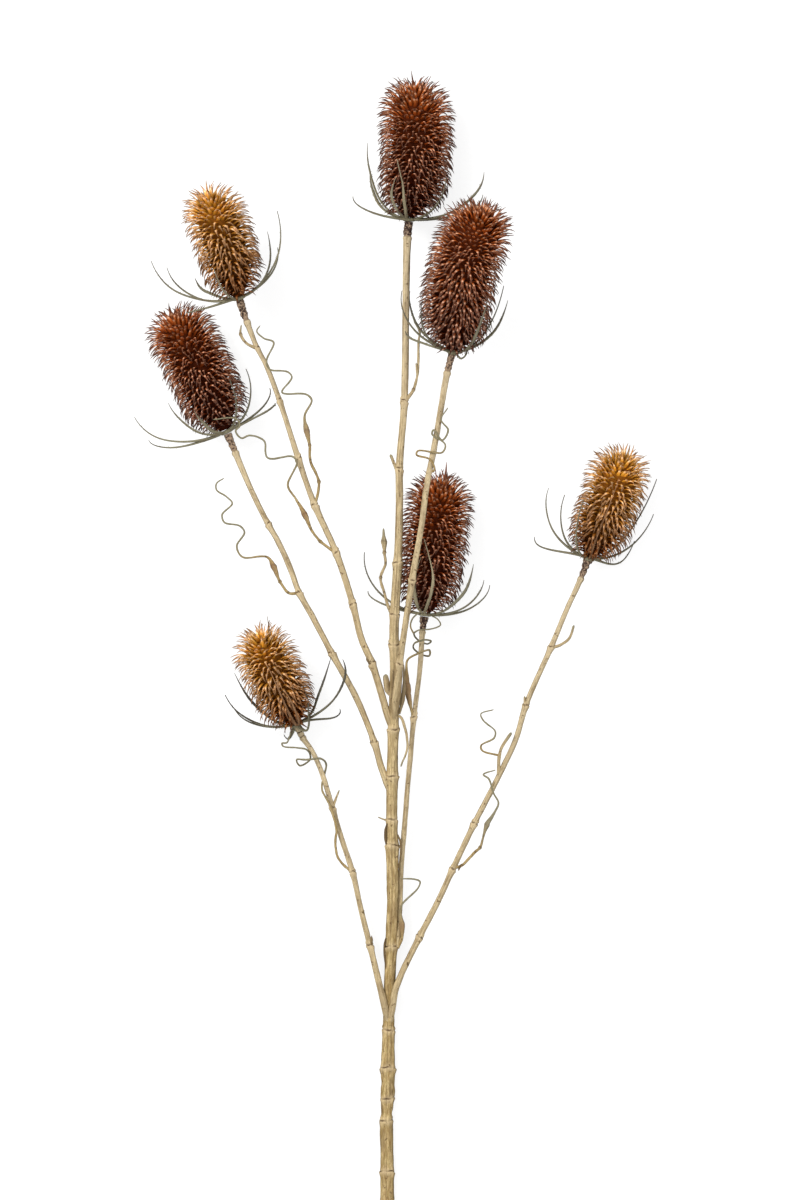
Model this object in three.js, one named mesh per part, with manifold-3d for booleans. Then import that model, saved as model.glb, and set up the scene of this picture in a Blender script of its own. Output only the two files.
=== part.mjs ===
// A dried teasel spray: one cut, jointed stem with six side branches and seven spiny seed heads,
// each with its whorl of long curved bracts, lying on a flat surface.
//
// Millimetres, +Z up. The spray lies in the XY plane with the cut foot towards -Y. The origin is
// on the surface, under the middle of the spray's outline.
//
// Places along the stems are given on a drawing grid that lies flat on the surface: grid x runs
// to the right and grid y runs towards the foot. Heights and thicknesses are in millimetres.

import * as THREE from 'three';
import Module from 'manifold-3d';

const wasm = await Module();
wasm.setup();

// Drawing grid
const GRID = 0.65;                 // millimetres for one step of the grid
const GRID_MIDDLE = [395.6, 641.2];  // grid point over the origin

// Seed heads
const COLUMNS = 16;        // spines round a head
const ROWS = 16;           // spines from the base of a head to its top
const SPINE = 11;          // from the core to a spine's tip
const SPINE_DROOP = -30;   // degrees that the spines of the middle hang from level
const SPINE_TURN = 120;    // degrees that they turn up from there to the top of the head
const SPINE_BEND = 2.8;    // how late along the head that turn comes
const FOOT_LIFT = 25;      // degrees that the lowest spines are lifted over the bracts
const FOOT_SHARE = 0.15;   // share of the head over which they are
const SPINE_SCATTER = 0.08;
const CORE_BASE = 3.7;     // radius of the core's flat foot
const BASE_FLARE = 25;     // length over which the core widens from its foot
const DOME = 15;           // length of the rounded top of the core
const DOME_POWER = 2.6;    // how blunt it is
const BULGE = 0.05;        // how much the core swells between foot and dome
const SPINE_GAP = 0.9;     // room kept between a spine and a stem, tendril or bract
const SHORTENING = 0.88;   // each cut of a spine that lacks this room
const SHORTENINGS = 22;    // most cuts of one spine
const TESTED_SHARES = [0.3, 0.5, 0.75, 1];  // where on a spine its room is measured
const FOOT_EASE = 0.12;    // how much closer the rings stand at the top than at the foot

// Bracts
const DISC_RADIUS = 4.4;   // the small disc under a head that its bracts grow from
const DISC_TOP = -0.3;     // along the head's axis, below its base
const DISC_FOOT = -2.8;
const BRACT_WIDE = 0.95;   // half width at the root
const BRACT_TIP = 0.35;    // half width at the point
const BRACT_STEPS = 7;
const BEND_SCALE = 1.3;    // makes the largest bend of a bract the one that its row states

// Stems
const NECK_TOP = -3.1;     // where a branch ends below the base of its head
const NECK_RADIUS = 2.6;
const RING_REACH = 2.2;    // half length of a swollen ring on a stem
const SURFACE = 0;         // height of the surface that the spray lies on
const BRACT_FLOOR = 0.9;   // lowest centre line of a bract

const colours = {
  straw: 0xb5986a,
  rust: 0x5f3018,
  ochre: 0x8a5a24,
  olive: 0x87806c,
};

// A head: grid x and y of its base, height of the base, lean to the right and rise towards the
// viewer in degrees, length with spines, full width with spines, and how far the middle bows
// out to the right of the straight axis.
const heads = [
  { base: [409, 217], z: 24, lean: 3, rise: 0, length: 90, width: 49, bow: 2.6, colour: 'rust' },
  { base: [453, 350], z: 45, lean: 11.8, rise: 20, length: 101, width: 50, bow: -4.2, colour: 'rust' },
  { base: [238.5, 296], z: 38, lean: -17, rise: 15, length: 75, width: 43, bow: 1.8, colour: 'ochre' },
  { base: [225.5, 429.5], z: 23.4, lean: -25, rise: 0, length: 87, width: 47, bow: 1, colour: 'rust' },
  { base: [425, 612], z: 22.6, lean: 7.4, rise: 0, length: 91, width: 46, bow: 0, colour: 'rust' },
  { base: [589.4, 555.5], z: 14.4, lean: 19.3, rise: 18, length: 77, width: 43, bow: 1.2, colour: 'ochre' },
  { base: [295, 722], z: 13.5, lean: -24, rise: 22, length: 71, width: 42, bow: 0, colour: 'ochre' },
];

// Bract tips of each head: grid x, grid y, height and, where a bract bends off its quarter of an
// ellipse, how far its middle bends to the right and towards the top of the head.
const bractTips = [
  [[367.6, 142.5, 22], [370, 172, 12], [353, 196.7, 30], [397, 161, 49, 3.9],
    [396, 178, 43, -3.2], [484, 172, 28], [483, 194, 18], [446, 179, 38], [428, 221, 32],
    [405, 187, 3]],
  [[402, 292, 55], [410, 292, 44], [422, 302, 70], [405.5, 332, 50], [503, 288, 66],
    [507.5, 301, 50], [487, 302, 79], [455, 305, 24], [474, 325, 24]],
  [[152, 262, 44], [168, 269, 54], [195, 278, 28], [187, 313, 44], [277.5, 212, 44],
    [268, 233.5, 58], [277.5, 248, 34], [215, 271, 63], [236, 262, 14]],
  [[134.5, 417, 24], [168.5, 403, 34], [148.5, 440, 20], [246, 369, 30], [269.6, 388, 20],
    [276, 403, 26], [230, 380, 46], [195, 411, 45], [218, 398, 3]],
  [[364.5, 552, 12], [368, 591, 17], [473.5, 564, 30], [484, 580, 22], [490, 585, 14],
    [424, 539, 47, 8], [421, 557, 44, -3.5],
    [440, 582, 3]],
  [[548.6, 488, 30], [564.4, 495, 37], [535, 536.6, 17, 0, -4], [583, 500, 46], [618, 479, 50, 0, -6],
    [656.7, 479, 27], [654, 514, 15], [635, 541, 9, 0, -6.5], [602, 528, 2]],
  [[234.5, 673, 27], [225, 695, 19], [233.5, 708, 11], [331, 657, 26, -9], [342.7, 659, 35],
    [339.6, 709, 16, 0, -5], [285, 690, 46, 1.5], [266, 661, 50, 0, -6], [276, 698, 2]],
];

// Single long hairs at the top of some heads: the spine that starts nearest to the first point
// reaches to the second one.
const longHairs = [
  { head: 0, from: [412.5, 92, 24], to: [411, 70, 25] },
  { head: 4, from: [442, 492, 24], to: [446.6, 462, 25] },
  { head: 6, from: [269, 642, 34], to: [267.5, 616, 40] },
];

// A route: grid x, grid y, height, thickness and, where the stem has a swollen ring, how far the
// ring stands out.
const mainStem = [
  [387, 1212, 4.6, 9.2], [387.2, 1174, 4.6, 8.6, 0.9], [386.6, 1122, 4.6, 8.4, 0.6],
  [387, 1100, 4.7, 8.6, 0.7], [387.6, 1070, 4.9, 8.8, 0.9], [388.3, 1032, 5.5, 7.4, 0.7],
  [389, 1000, 6.3, 7.2], [391, 948, 9, 7.4, 1], [392.7, 898, 12, 7.8, 0.6],
  [392.2, 846, 15, 8, 0.9], [391.8, 820, 16.5, 7, 0.6], [392, 777, 19, 7.3, 1],
  [393.5, 729, 22, 7, 1], [395, 671, 26, 6.6], [394, 644.5, 28, 6.2, 0.9],
  [394.5, 614, 30.5, 6, 0.6], [397.8, 562, 35, 5.6, 0.9], [399.5, 500, 37, 4.8],
  [399.3, 469, 37, 4.6, 0.8], [404.3, 402, 33, 4.3, 0.8], [405.8, 314, 28.5, 4.4],
  [407.3, 241, 24.3, 5],
];
const branches = [
  { head: 1, route: [
    [394, 727, 22, 4.4], [395, 700, 29, 4.3], [399.7, 663.7, 37, 4.2, 0.8],
    [405.5, 623.5, 45, 4.1], [412.2, 579.5, 50, 4, 0.8], [420.8, 529.7, 51, 4],
    [427, 484, 49.5, 4], [433.9, 449, 46.5, 4], [440, 414, 43.5, 3.9], [446.1, 378, 41.3, 4],
    [449.6, 362.5, 42, 4.3]] },
  { head: 2, route: [
    [393, 729, 22, 4.5], [388.5, 718.5, 23.5, 4.5], [381.6, 694, 25.5, 4.4],
    [372, 663, 27.5, 4.3, 0.8], [361.5, 638.8, 28.5, 4.2], [352.9, 604, 30, 4.1, 0.7],
    [336.2, 552.7, 31.5, 4, 0.7], [315, 505.8, 33, 3.8, 0.8], [298.5, 459, 34, 3.5, 0.7],
    [279.6, 400.7, 34.5, 3.2, 0.7], [265.6, 364, 34.5, 3], [257, 347.4, 34, 3, 0.4],
    [245.6, 317.9, 34.7, 3.8]] },
  { head: 3, route: [
    [392, 793, 18.5, 4.4], [387.3, 784, 19, 4.5], [380.8, 766, 20, 4.2], [374, 742, 21, 4, 0.8],
    [356.3, 698, 22, 3.9], [331.7, 653, 23, 3.9, 0.8], [311.6, 615, 23.5, 3.7],
    [299.3, 593, 24, 3.6, 0.7], [289.3, 566, 24, 3.6], [278, 541.5, 24, 3.6],
    [268, 523.7, 24, 3.5, 0.8], [251.3, 490, 24, 3.4], [234.2, 449.8, 23.5, 4]] },
  { head: 4, route: [
    [397, 948, 9.5, 3.6], [399.7, 910, 10, 3.6], [401.2, 867, 11, 3.5], [404.3, 829, 12.5, 3.5],
    [407.3, 790.6, 15, 3.4], [410, 762, 16.5, 3.4], [414, 717, 18.5, 3.3, 0.9],
    [419.8, 671, 20.5, 3.2], [422.6, 629, 22.3, 3.8]] },
  { head: 5, route: [
    [389.7, 1024, 6.6, 4.2], [392.2, 1009, 9.6, 4.8], [395.4, 991, 11, 4.3], [401.6, 974.5, 11, 4.1],
    [419.6, 937.6, 10.5, 3.9, 0.8], [438, 902, 11.5, 3.8], [453, 869.5, 12, 3.7, 0.8],
    [474.7, 823.6, 13, 3.6, 0.8], [498.6, 777, 13, 3.6], [515.9, 740, 13, 3.5],
    [526.3, 705.3, 13, 3.5, 0.8], [551.7, 646.8, 12, 3.4, 0.8], [568, 607.7, 10.8, 3.3],
    [582.8, 575.2, 11, 3.8]] },
  { head: 6, route: [
    [387.6, 1024, 6.6, 4.2], [384.9, 1009, 9.6, 4.8], [380.6, 991, 10.5, 4.2], [370, 947, 8.8, 3.8, 0.8],
    [359.8, 906, 9.5, 3.6], [352.7, 873.5, 10.5, 3.5, 0.6], [341.4, 838.8, 11.5, 3.5],
    [332.2, 808.2, 12, 3.4, 0.8], [321, 771.4, 11.5, 3.3], [311.5, 751, 10.5, 3.3],
    [302.4, 738, 10.6, 3.9]] },
];

// Short spurs, twigs and buds, as routes from the stem to their tips.
const twigs = [
  [[405, 402, 33, 2.2], [413.5, 390, 35, 2, 0.4], [417.6, 373.5, 36, 1.8], [418.6, 341, 36.5, 1.5],
    [419.6, 333, 37, 1.3], [413.5, 321, 37, 0.7]],
  [[417.4, 375, 36, 1.7], [416, 363, 38, 0.9]],
  [[399, 473, 37, 2], [396, 468, 37.5, 2.2], [390.3, 454.5, 38, 1.7]],
  [[394, 616, 30.5, 2.2], [390, 611, 31, 2], [384.4, 593, 32, 1.8], [380.6, 577.6, 33, 1.8, 0.4],
    [385.4, 564, 33.5, 1.7], [384.4, 552.7, 34, 1.7, 0.4], [384, 542, 34, 3],
    [383.5, 528, 34, 0.9]],
  [[393, 697, 24.5, 2.2], [387.5, 690, 25, 2.4], [385, 674, 25.5, 1.1]],
  [[257, 349, 34, 2], [246, 343, 36, 1.7], [241, 334.7, 36.5, 1.7, 0.3], [241.7, 325, 37, 0.8]],
  [[552, 648, 12, 2.1], [561, 645, 12.6, 1.9], [569.5, 638.5, 13.3, 1.8], [574.5, 625, 14, 1.4]],
  [[526, 706, 13, 2.4], [524.6, 696, 15.5, 1.2]],
  [[498.6, 778, 13, 2.3], [500.7, 751, 16, 2], [511.6, 732.4, 18, 1.9]],
  [[332.5, 809, 12, 1.9], [335, 801, 13.5, 1.7], [339.4, 790, 15, 0.8]],
  [[391.5, 822, 16.5, 1.6], [386, 820.5, 18, 1.3], [377.5, 817, 20, 0.7]],
  [[395, 716, 23, 1.5], [400.7, 717, 25, 1.3], [407.4, 746, 26, 1.2], [400.7, 767, 25, 0.7]],
];

// Curly tendrils, some with a seed pod on the way.
const tendrils = [
  [[315, 507, 33, 1.9], [318.9, 482, 35, 1.8, 0.4], [310.5, 461, 36.5, 1.7],
    [309.8, 445.6, 37, 1.8, 0.4], [307, 431.5, 37.5, 2.8], [304.9, 416, 38, 1.5],
    [311.9, 400.7, 39, 1.3], [306.3, 395, 40, 1.3], [282.4, 393, 41, 1.2], [292.2, 378, 42, 1.2],
    [288, 372.6, 42, 1.2], [269.8, 369.8, 41, 1.2], [267, 361, 41, 1.2], [274, 343, 41, 1.2],
    [264.2, 339, 41, 1.1], [257.2, 332, 41, 1], [260.7, 326, 41, 0.7]],
  [[336, 553, 31.5, 1.9], [320.5, 541.5, 33, 1.8, 0.4], [311.6, 530, 34, 1.7],
    [305, 514.7, 35, 2.8], [296, 499, 35, 1.5], [288, 485.7, 35.5, 1.4], [297, 463, 39.5, 1.3],
    [293, 457, 39.5, 1.3], [267.7, 458, 36, 1.3], [264.2, 441, 35, 1.2], [250, 435.7, 36, 1.2],
    [241.7, 438.5, 37.5, 1.2], [236, 431.5, 39, 1.2], [240.3, 426, 40, 1.2], [236, 419, 41, 1.1],
    [213.7, 420, 43, 0.7]],
  [[299.5, 593, 24, 1.9], [289, 593, 25, 1.8], [280, 581.7, 26, 1.8, 0.4], [273.7, 566, 27, 2.8],
    [267, 557, 27, 1.4], [242.4, 557, 28, 1.3], [236.8, 546, 28, 1.3], [244.6, 532.6, 29, 1.3],
    [240, 526, 30, 1.2], [224.6, 522.5, 30, 1.2], [222.3, 514.7, 30, 1.2],
    [232.4, 503.6, 30, 1.2], [226.8, 497, 29, 1.1], [216.7, 490, 28.5, 1.1],
    [216.7, 483.5, 28, 1], [224.6, 478, 28, 0.7]],
  [[352.7, 874, 10.5, 1.8], [338.4, 859, 13, 1.6], [335.3, 843, 15, 1.6],
    [336.3, 830.6, 16, 1.5], [331, 808, 17, 1.4], [322, 790, 16, 1.3], [324, 775.5, 8.5, 1.3],
    [326, 765, 10, 1.3], [321, 759, 15.5, 1.3], [306.7, 760, 16, 1.3], [296.5, 760, 15, 1.2],
    [299.6, 766, 12, 1.2], [309.8, 760, 6.5, 1.2], [306.7, 750, 15, 1.2], [296.5, 748, 16, 1.1],
    [283, 746.5, 15.5, 1.1], [281.8, 743.5, 16, 1.1], [286.5, 743, 17, 1.1], [289.5, 737, 18, 1],
    [290.5, 731, 19, 0.8]],
  [[453, 869, 12, 1.9], [461.7, 866, 14, 1.8], [474.7, 852.8, 15.5, 1.7],
    [480, 848, 16, 1.7, 0.4], [483.4, 837, 17, 1.5], [487, 825, 17.5, 2.7],
    [495.3, 811.6, 18, 1.4], [498.6, 803, 18, 1.3], [494, 794, 18, 1.2], [488.8, 779, 18.5, 1.2],
    [483.4, 774.8, 18.5, 1.1], [496, 770, 19, 0.7]],
  [[500.3, 756, 15.4, 1.5], [482.3, 750.8, 17, 1.3], [481.2, 745.6, 18, 1.2],
    [494.2, 738, 20, 1.2], [495.3, 731.4, 20.5, 1.1], [483.4, 720.5, 20.5, 1.1],
    [481, 714, 20, 1], [494.2, 709.7, 19, 0.7]],
  [[430, 473, 48.5, 1.6], [434.4, 470, 50.5, 1.4], [429.8, 460, 51.5, 1.3],
    [416.5, 455.5, 50, 1.3], [418, 451.5, 50, 1.2], [442, 453, 50, 1.2], [445, 445, 48.5, 1.2],
    [432, 434.7, 48.5, 1.2], [433.5, 430.6, 48.5, 1.2], [442, 440.8, 47.5, 1.2],
    [448, 430.6, 46, 1.2], [441, 420.4, 47, 1.1], [448, 408, 46, 0.7]],
  [[414, 718, 18.5, 1.8], [411, 708, 20.5, 1.9], [407.5, 690, 22, 2.8], [406.5, 671, 23.5, 1.8],
    [407.6, 660, 24.5, 1.4], [417, 654, 26.5, 1.3], [429, 650, 24, 1.3], [429, 656, 19, 1.2],
    [420, 654, 15.5, 1.2], [413.5, 648, 19, 1.2], [415, 643, 25, 1.2], [424, 640, 27, 1.2],
    [431, 641, 22, 1.2], [427, 644, 16.5, 1.1], [418, 640, 16.5, 1.1], [414, 634, 21, 1.1],
    [419, 630, 27, 1], [431, 629, 27, 1], [440.5, 625, 26, 0.9],
    [438, 619.5, 27.5, 0.7]],
  [[398, 949, 10, 1.8], [402, 938, 12, 1.9], [402, 925, 14, 2.8], [400.5, 913, 15, 1.5],
    [402, 905, 16, 1.3], [418, 888.6, 16, 1.2], [420, 882, 16.5, 1.2], [414, 879.5, 17, 1.1],
    [399.9, 879, 18.5, 0.7]],
];

// Number of sides of a stem, branch, twig or tendril, and the longest step along it.
const fineness = {
  main: { sides: 10, step: 20 },
  branch: { sides: 7, step: 18 },
  twig: { sides: 5, step: 14 },
  tendril: { sides: 5, step: 8 },
};

// A seeded random number between 0 and 1.
function randomFrom(seed) {
  let state = seed;
  return () => {
    state = (state * 1664525 + 1013904223) % 4294967296;
    return state / 4294967296;
  };
}

function place(gridX, gridY, height) {
  return new THREE.Vector3((gridX - GRID_MIDDLE[0]) * GRID, (GRID_MIDDLE[1] - gridY) * GRID, height);
}

function clamp(value, low, high) {
  return Math.min(Math.max(value, low), high);
}

// The axis of a head with the direction across it and the one towards the viewer.
function headFrame(head) {
  const lean = THREE.MathUtils.degToRad(head.lean);
  const rise = THREE.MathUtils.degToRad(head.rise);
  const flat = Math.cos(rise);
  const axis = new THREE.Vector3(Math.sin(lean) * flat, Math.cos(lean) * flat, Math.sin(rise));
  const across = new THREE.Vector3(Math.cos(lean), -Math.sin(lean), 0);
  const front = across.clone().cross(axis);
  const base = place(head.base[0], head.base[1], head.z);
  return { base, axis, across, front };
}

function alongAxis(frame, distance) {
  return frame.base.clone().addScaledVector(frame.axis, distance);
}

// The stations of a route: points on a smooth curve through it, each with its radius. A swollen
// ring adds one station on each side of its own.
function stationsOf(route, step) {
  const points = route.map((row) => place(row[0], row[1], row[2]));
  const curve = new THREE.CatmullRomCurve3(points, false, 'centripetal');
  const spans = route.length - 1;
  const stations = [];
  const add = (t, radius) => {
    stations.push({
      point: curve.getPoint(t / spans),
      tangent: curve.getTangent(t / spans),
      radius,
    });
  };
  route.forEach((row, index) => {
    const ring = row[4] ?? 0;
    const radius = row[3] / 2;
    const spanBefore = index > 0 ? points[index].distanceTo(points[index - 1]) : 0;
    const spanAfter = index < spans ? points[index].distanceTo(points[index + 1]) : 0;
    if (ring > 0) add(index - RING_REACH / spanBefore, radius);
    add(index, radius + ring);
    if (ring > 0) add(index + RING_REACH / spanAfter, radius);
    const parts = Math.round(spanAfter / step);
    for (let part = 1; part < parts; part++) {
      const share = part / parts;
      add(index + share, radius + (route[index + 1][3] / 2 - radius) * share);
    }
  });
  return stations;
}

// A closed tube of the given number of sides through the stations, with flat ends.
function tube(stations, sides) {
  const positions = [];
  const faces = [];
  let side = new THREE.Vector3(0, 0, 1);
  stations.forEach(({ point, tangent, radius }) => {
    side = side.clone().addScaledVector(tangent, -side.dot(tangent)).normalize();
    const other = tangent.clone().cross(side);
    for (let corner = 0; corner < sides; corner++) {
      const angle = (corner / sides) * 2 * Math.PI;
      const vertex = point.clone()
        .addScaledVector(side, Math.cos(angle) * radius)
        .addScaledVector(other, Math.sin(angle) * radius);
      positions.push(vertex.x, vertex.y, vertex.z);
    }
  });
  for (let ring = 0; ring + 1 < stations.length; ring++) {
    for (let corner = 0; corner < sides; corner++) {
      const next = (corner + 1) % sides;
      const a = ring * sides + corner;
      const b = ring * sides + next;
      faces.push(a, b, b + sides, a, b + sides, a + sides);
    }
  }
  const last = (stations.length - 1) * sides;
  for (let corner = 1; corner + 1 < sides; corner++) {
    faces.push(0, corner + 1, corner);
    faces.push(last, last + corner, last + corner + 1);
  }
  return { positions, faces };
}

function solidOf({ positions, faces }) {
  return new wasm.Manifold(new wasm.Mesh({
    numProp: 3,
    vertProperties: Float32Array.from(positions),
    triVerts: Uint32Array.from(faces),
  }));
}

function joined(solids) {
  return solids.reduce((whole, next) => whole.add(next));
}

// What would reach under the surface is cut off flat.
function cutAtSurface(solid) {
  return solid.trimByPlane([0, 0, 1], SURFACE);
}

function geometryOf({ positions, faces }) {
  const geometry = new THREE.BufferGeometry();
  geometry.setAttribute('position', new THREE.Float32BufferAttribute(positions, 3));
  geometry.setIndex(faces);
  geometry.computeVertexNormals();
  return geometry;
}

function geometryFrom(solid) {
  const mesh = solid.getMesh();
  return geometryOf({ positions: Array.from(mesh.vertProperties), faces: Array.from(mesh.triVerts) });
}

function finished(name, geometry, colour, roughness) {
  const material = new THREE.MeshStandardMaterial({ color: colour, roughness, metalness: 0 });
  const mesh = new THREE.Mesh(geometry, material);
  mesh.name = name;
  return mesh;
}

// The stations of a branch that carries a head end in its neck, in line with the head.
function branchStations(route, step, frame) {
  const stations = stationsOf(route, step);
  stations.push({ point: alongAxis(frame, NECK_TOP), tangent: frame.axis, radius: NECK_RADIUS });
  return stations;
}

// A bract's stations: out from the disc, then round and up in a quarter of an ellipse to its tip.
function bractStations([gridX, gridY, height, bendAcross = 0, bendUp = 0], frame) {
  const root = alongAxis(frame, (DISC_TOP + DISC_FOOT) / 2);
  const reach = place(gridX, gridY, height).sub(root);
  const rise = reach.dot(frame.axis);
  const out = reach.clone().addScaledVector(frame.axis, -rise);
  const points = [];
  for (let step = 0; step <= BRACT_STEPS; step++) {
    const angle = (step / BRACT_STEPS) * Math.PI / 2;
    const bend = BEND_SCALE * Math.sin(2 * angle) * Math.sin(angle);
    const point = root.clone()
      .addScaledVector(out, Math.sin(angle))
      .addScaledVector(frame.axis, rise * (1 - Math.cos(angle)) + bendUp * bend)
      .addScaledVector(frame.across, bendAcross * bend);
    point.z = Math.max(point.z, BRACT_FLOOR);
    points.push(point);
  }
  return points.map((point, step) => ({
    point,
    tangent: points[Math.min(step + 1, BRACT_STEPS)].clone()
      .sub(points[Math.max(step - 1, 0)]).normalize(),
    radius: BRACT_WIDE + (BRACT_TIP - BRACT_WIDE) * (step / BRACT_STEPS),
  }));
}

function discSolid(frame) {
  const stations = [DISC_FOOT, DISC_TOP].map((distance) => ({
    point: alongAxis(frame, distance),
    tangent: frame.axis,
    radius: DISC_RADIUS,
  }));
  return solidOf(tube(stations, fineness.branch.sides));
}

// Points along a tube, close enough together to keep spines clear of it.
function trail(stations) {
  const points = [];
  const spacing = 1.5;
  for (let index = 0; index + 1 < stations.length; index++) {
    const from = stations[index];
    const to = stations[index + 1];
    const parts = Math.ceil(from.point.distanceTo(to.point) / spacing);
    for (let part = 0; part < parts; part++) {
      const share = part / parts;
      points.push({
        point: from.point.clone().lerp(to.point, share),
        radius: from.radius + (to.radius - from.radius) * share,
      });
    }
  }
  return points;
}

// Radius of a head's core at a distance from its base.
function coreRadius(distance, coreLength, widest) {
  const foot = clamp(distance / BASE_FLARE, 0, 1);
  const dome = clamp((distance - (coreLength - DOME)) / DOME, 0, 1);
  const swell = 1 + BULGE * Math.sin(Math.PI * clamp(distance / coreLength, 0, 1));
  const body = CORE_BASE + (widest - CORE_BASE) * Math.sin(foot * Math.PI / 2);
  return body * swell * Math.sqrt(1 - dome ** DOME_POWER);
}

// Middle of a head's core at a distance from its base.
function coreMiddle(head, frame, distance) {
  const share = clamp(distance / (head.length - SPINE), 0, 1);
  return alongAxis(frame, distance).addScaledVector(frame.across, head.bow * Math.sin(Math.PI * share));
}

// Angle of a spine over the plane across the head, by its share of the way from base to top.
function spineElevation(share) {
  const foot = FOOT_LIFT * Math.max(0, 1 - share / FOOT_SHARE);
  return THREE.MathUtils.degToRad(SPINE_DROOP + foot + SPINE_TURN * share ** SPINE_BEND);
}

// A head: rings of points on the core, and on every cell between them one spine, raised as a
// four-sided point. Each second ring is turned by half a cell, so the spines stand in quincunx.
function headSurface(head, frame, obstacles, hair, random) {
  const coreLength = head.length - SPINE;
  const widest = (head.width / 2 - SPINE) / (1 + BULGE);
  const ease = (share) => coreLength * (0.5 - 0.5 * Math.cos(Math.PI * share));
  const along = (ring) => {
    const climb = ring / ROWS;
    return ease(FOOT_EASE + (1 - FOOT_EASE) * climb) - ease(FOOT_EASE) * (1 - climb);
  };
  const positions = [];
  const faces = [];
  const at = (distance, radius, turn) => coreMiddle(head, frame, distance)
    .addScaledVector(frame.across, radius * Math.cos(turn))
    .addScaledVector(frame.front, -radius * Math.sin(turn));
  const push = (vertex) => {
    positions.push(vertex.x, vertex.y, Math.max(vertex.z, SURFACE));
    return positions.length / 3 - 1;
  };
  const cell = 2 * Math.PI / COLUMNS;
  const footCentre = push(at(0, 0, 0));
  const rings = [];
  for (let ring = 0; ring < ROWS; ring++) {
    const distance = along(ring);
    const radius = coreRadius(distance, coreLength, widest);
    const shift = (ring % 2) / 2;
    rings.push(Array.from({ length: COLUMNS }, (_, column) => (
      push(at(distance, radius, (column + shift) * cell)))));
  }
  const top = push(at(coreLength, 0, 0));
  const vertexAt = (index) => new THREE.Vector3().fromArray(positions, index * 3);
  const clear = (root, tip, halfWidth) => TESTED_SHARES.every((share) => {
    const point = root.clone().lerp(tip, share);
    const room = halfWidth * (1 - share) + SPINE_GAP;
    return obstacles.every((other) => other.point.distanceTo(point) > other.radius + room);
  });
  const spines = [];
  const spine = (corners) => {
    const root = corners.reduce((sum, index) => sum.add(vertexAt(index)), new THREE.Vector3())
      .divideScalar(corners.length);
    const distance = root.clone().sub(frame.base).dot(frame.axis);
    const elevation = spineElevation(distance / coreLength);
    const outward = root.clone().sub(coreMiddle(head, frame, distance)).normalize();
    const direction = outward.multiplyScalar(Math.cos(elevation))
      .addScaledVector(frame.axis, Math.sin(elevation));
    let length = SPINE * (1 + SPINE_SCATTER * (2 * random() - 1));
    let tip = root.clone().addScaledVector(direction, length);
    for (let trial = 0; trial < SHORTENINGS && !clear(root, tip, cell * widest / 2); trial++) {
      length *= SHORTENING;
      tip = root.clone().addScaledVector(direction, length);
    }
    const apex = push(tip);
    spines.push({ root, apex });
    corners.forEach((corner, index) => {
      faces.push(corner, corners[(index + 1) % corners.length], apex);
    });
  };
  for (let column = 0; column < COLUMNS; column++) {
    faces.push(footCentre, rings[0][(column + 1) % COLUMNS], rings[0][column]);
  }
  for (let ring = 0; ring + 1 < ROWS; ring++) {
    const shift = ring % 2;
    for (let column = 0; column < COLUMNS; column++) {
      const lower = rings[ring];
      const upper = rings[ring + 1];
      spine([lower[column], lower[(column + 1) % COLUMNS],
        upper[(column + 1 + shift) % COLUMNS], upper[(column + shift) % COLUMNS]]);
    }
  }
  for (let column = 0; column < COLUMNS; column++) {
    spine([rings[ROWS - 1][column], rings[ROWS - 1][(column + 1) % COLUMNS], top]);
  }
  if (hair) {
    const start = place(...hair.from);
    const nearest = spines.reduce((best, next) => (
      next.root.distanceTo(start) < best.root.distanceTo(start) ? next : best));
    place(...hair.to).toArray(positions, nearest.apex * 3);
  }
  return { positions, faces };
}

const frames = heads.map(headFrame);

const stemParts = [
  { stations: branchStations(mainStem, fineness.main.step, frames[0]), sides: fineness.main.sides },
  ...branches.map(({ head, route }) => ({
    stations: branchStations(route, fineness.branch.step, frames[head]),
    sides: fineness.branch.sides,
  })),
  ...twigs.map((route) => ({
    stations: stationsOf(route, fineness.twig.step),
    sides: fineness.twig.sides,
  })),
  ...tendrils.map((route) => ({
    stations: stationsOf(route, fineness.tendril.step),
    sides: fineness.tendril.sides,
  })),
];
const bractParts = bractTips.map((tips, index) => (
  tips.map((tip) => bractStations(tip, frames[index]))));
const obstacles = [
  ...stemParts.flatMap(({ stations }) => trail(stations)),
  ...bractParts.flat().flatMap(trail),
];

const spray = new THREE.Group();
spray.add(finished('stem', geometryFrom(cutAtSurface(joined(
  stemParts.map(({ stations, sides }) => solidOf(tube(stations, sides)))))), colours.straw, 0.7));

heads.forEach((head, index) => {
  const frame = frames[index];
  const middle = alongAxis(frame, head.length / 2);
  const near = obstacles.filter(({ point }) => point.distanceTo(middle) < head.length);
  const hair = longHairs.find((row) => row.head === index);
  const surface = headSurface(head, frame, near, hair, randomFrom(101 + index));
  spray.add(finished(`head_${index + 1}`, geometryOf(surface), colours[head.colour], 0.8));
  const bracts = joined([
    discSolid(frame),
    ...bractParts[index].map((stations) => solidOf(tube(stations, 3))),
  ]);
  spray.add(finished(`bracts_${index + 1}`, geometryFrom(cutAtSurface(bracts)), colours.olive, 0.75));
});

export default spray;
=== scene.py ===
"""A dried teasel spray lying on a pale floor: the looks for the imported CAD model.

The spray is one cut, jointed stem with six side branches, seven spiny seed heads, each in its
whorl of long curved bracts, and curly tendrils, pods, spurs and buds along the stems.
"""

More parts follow.
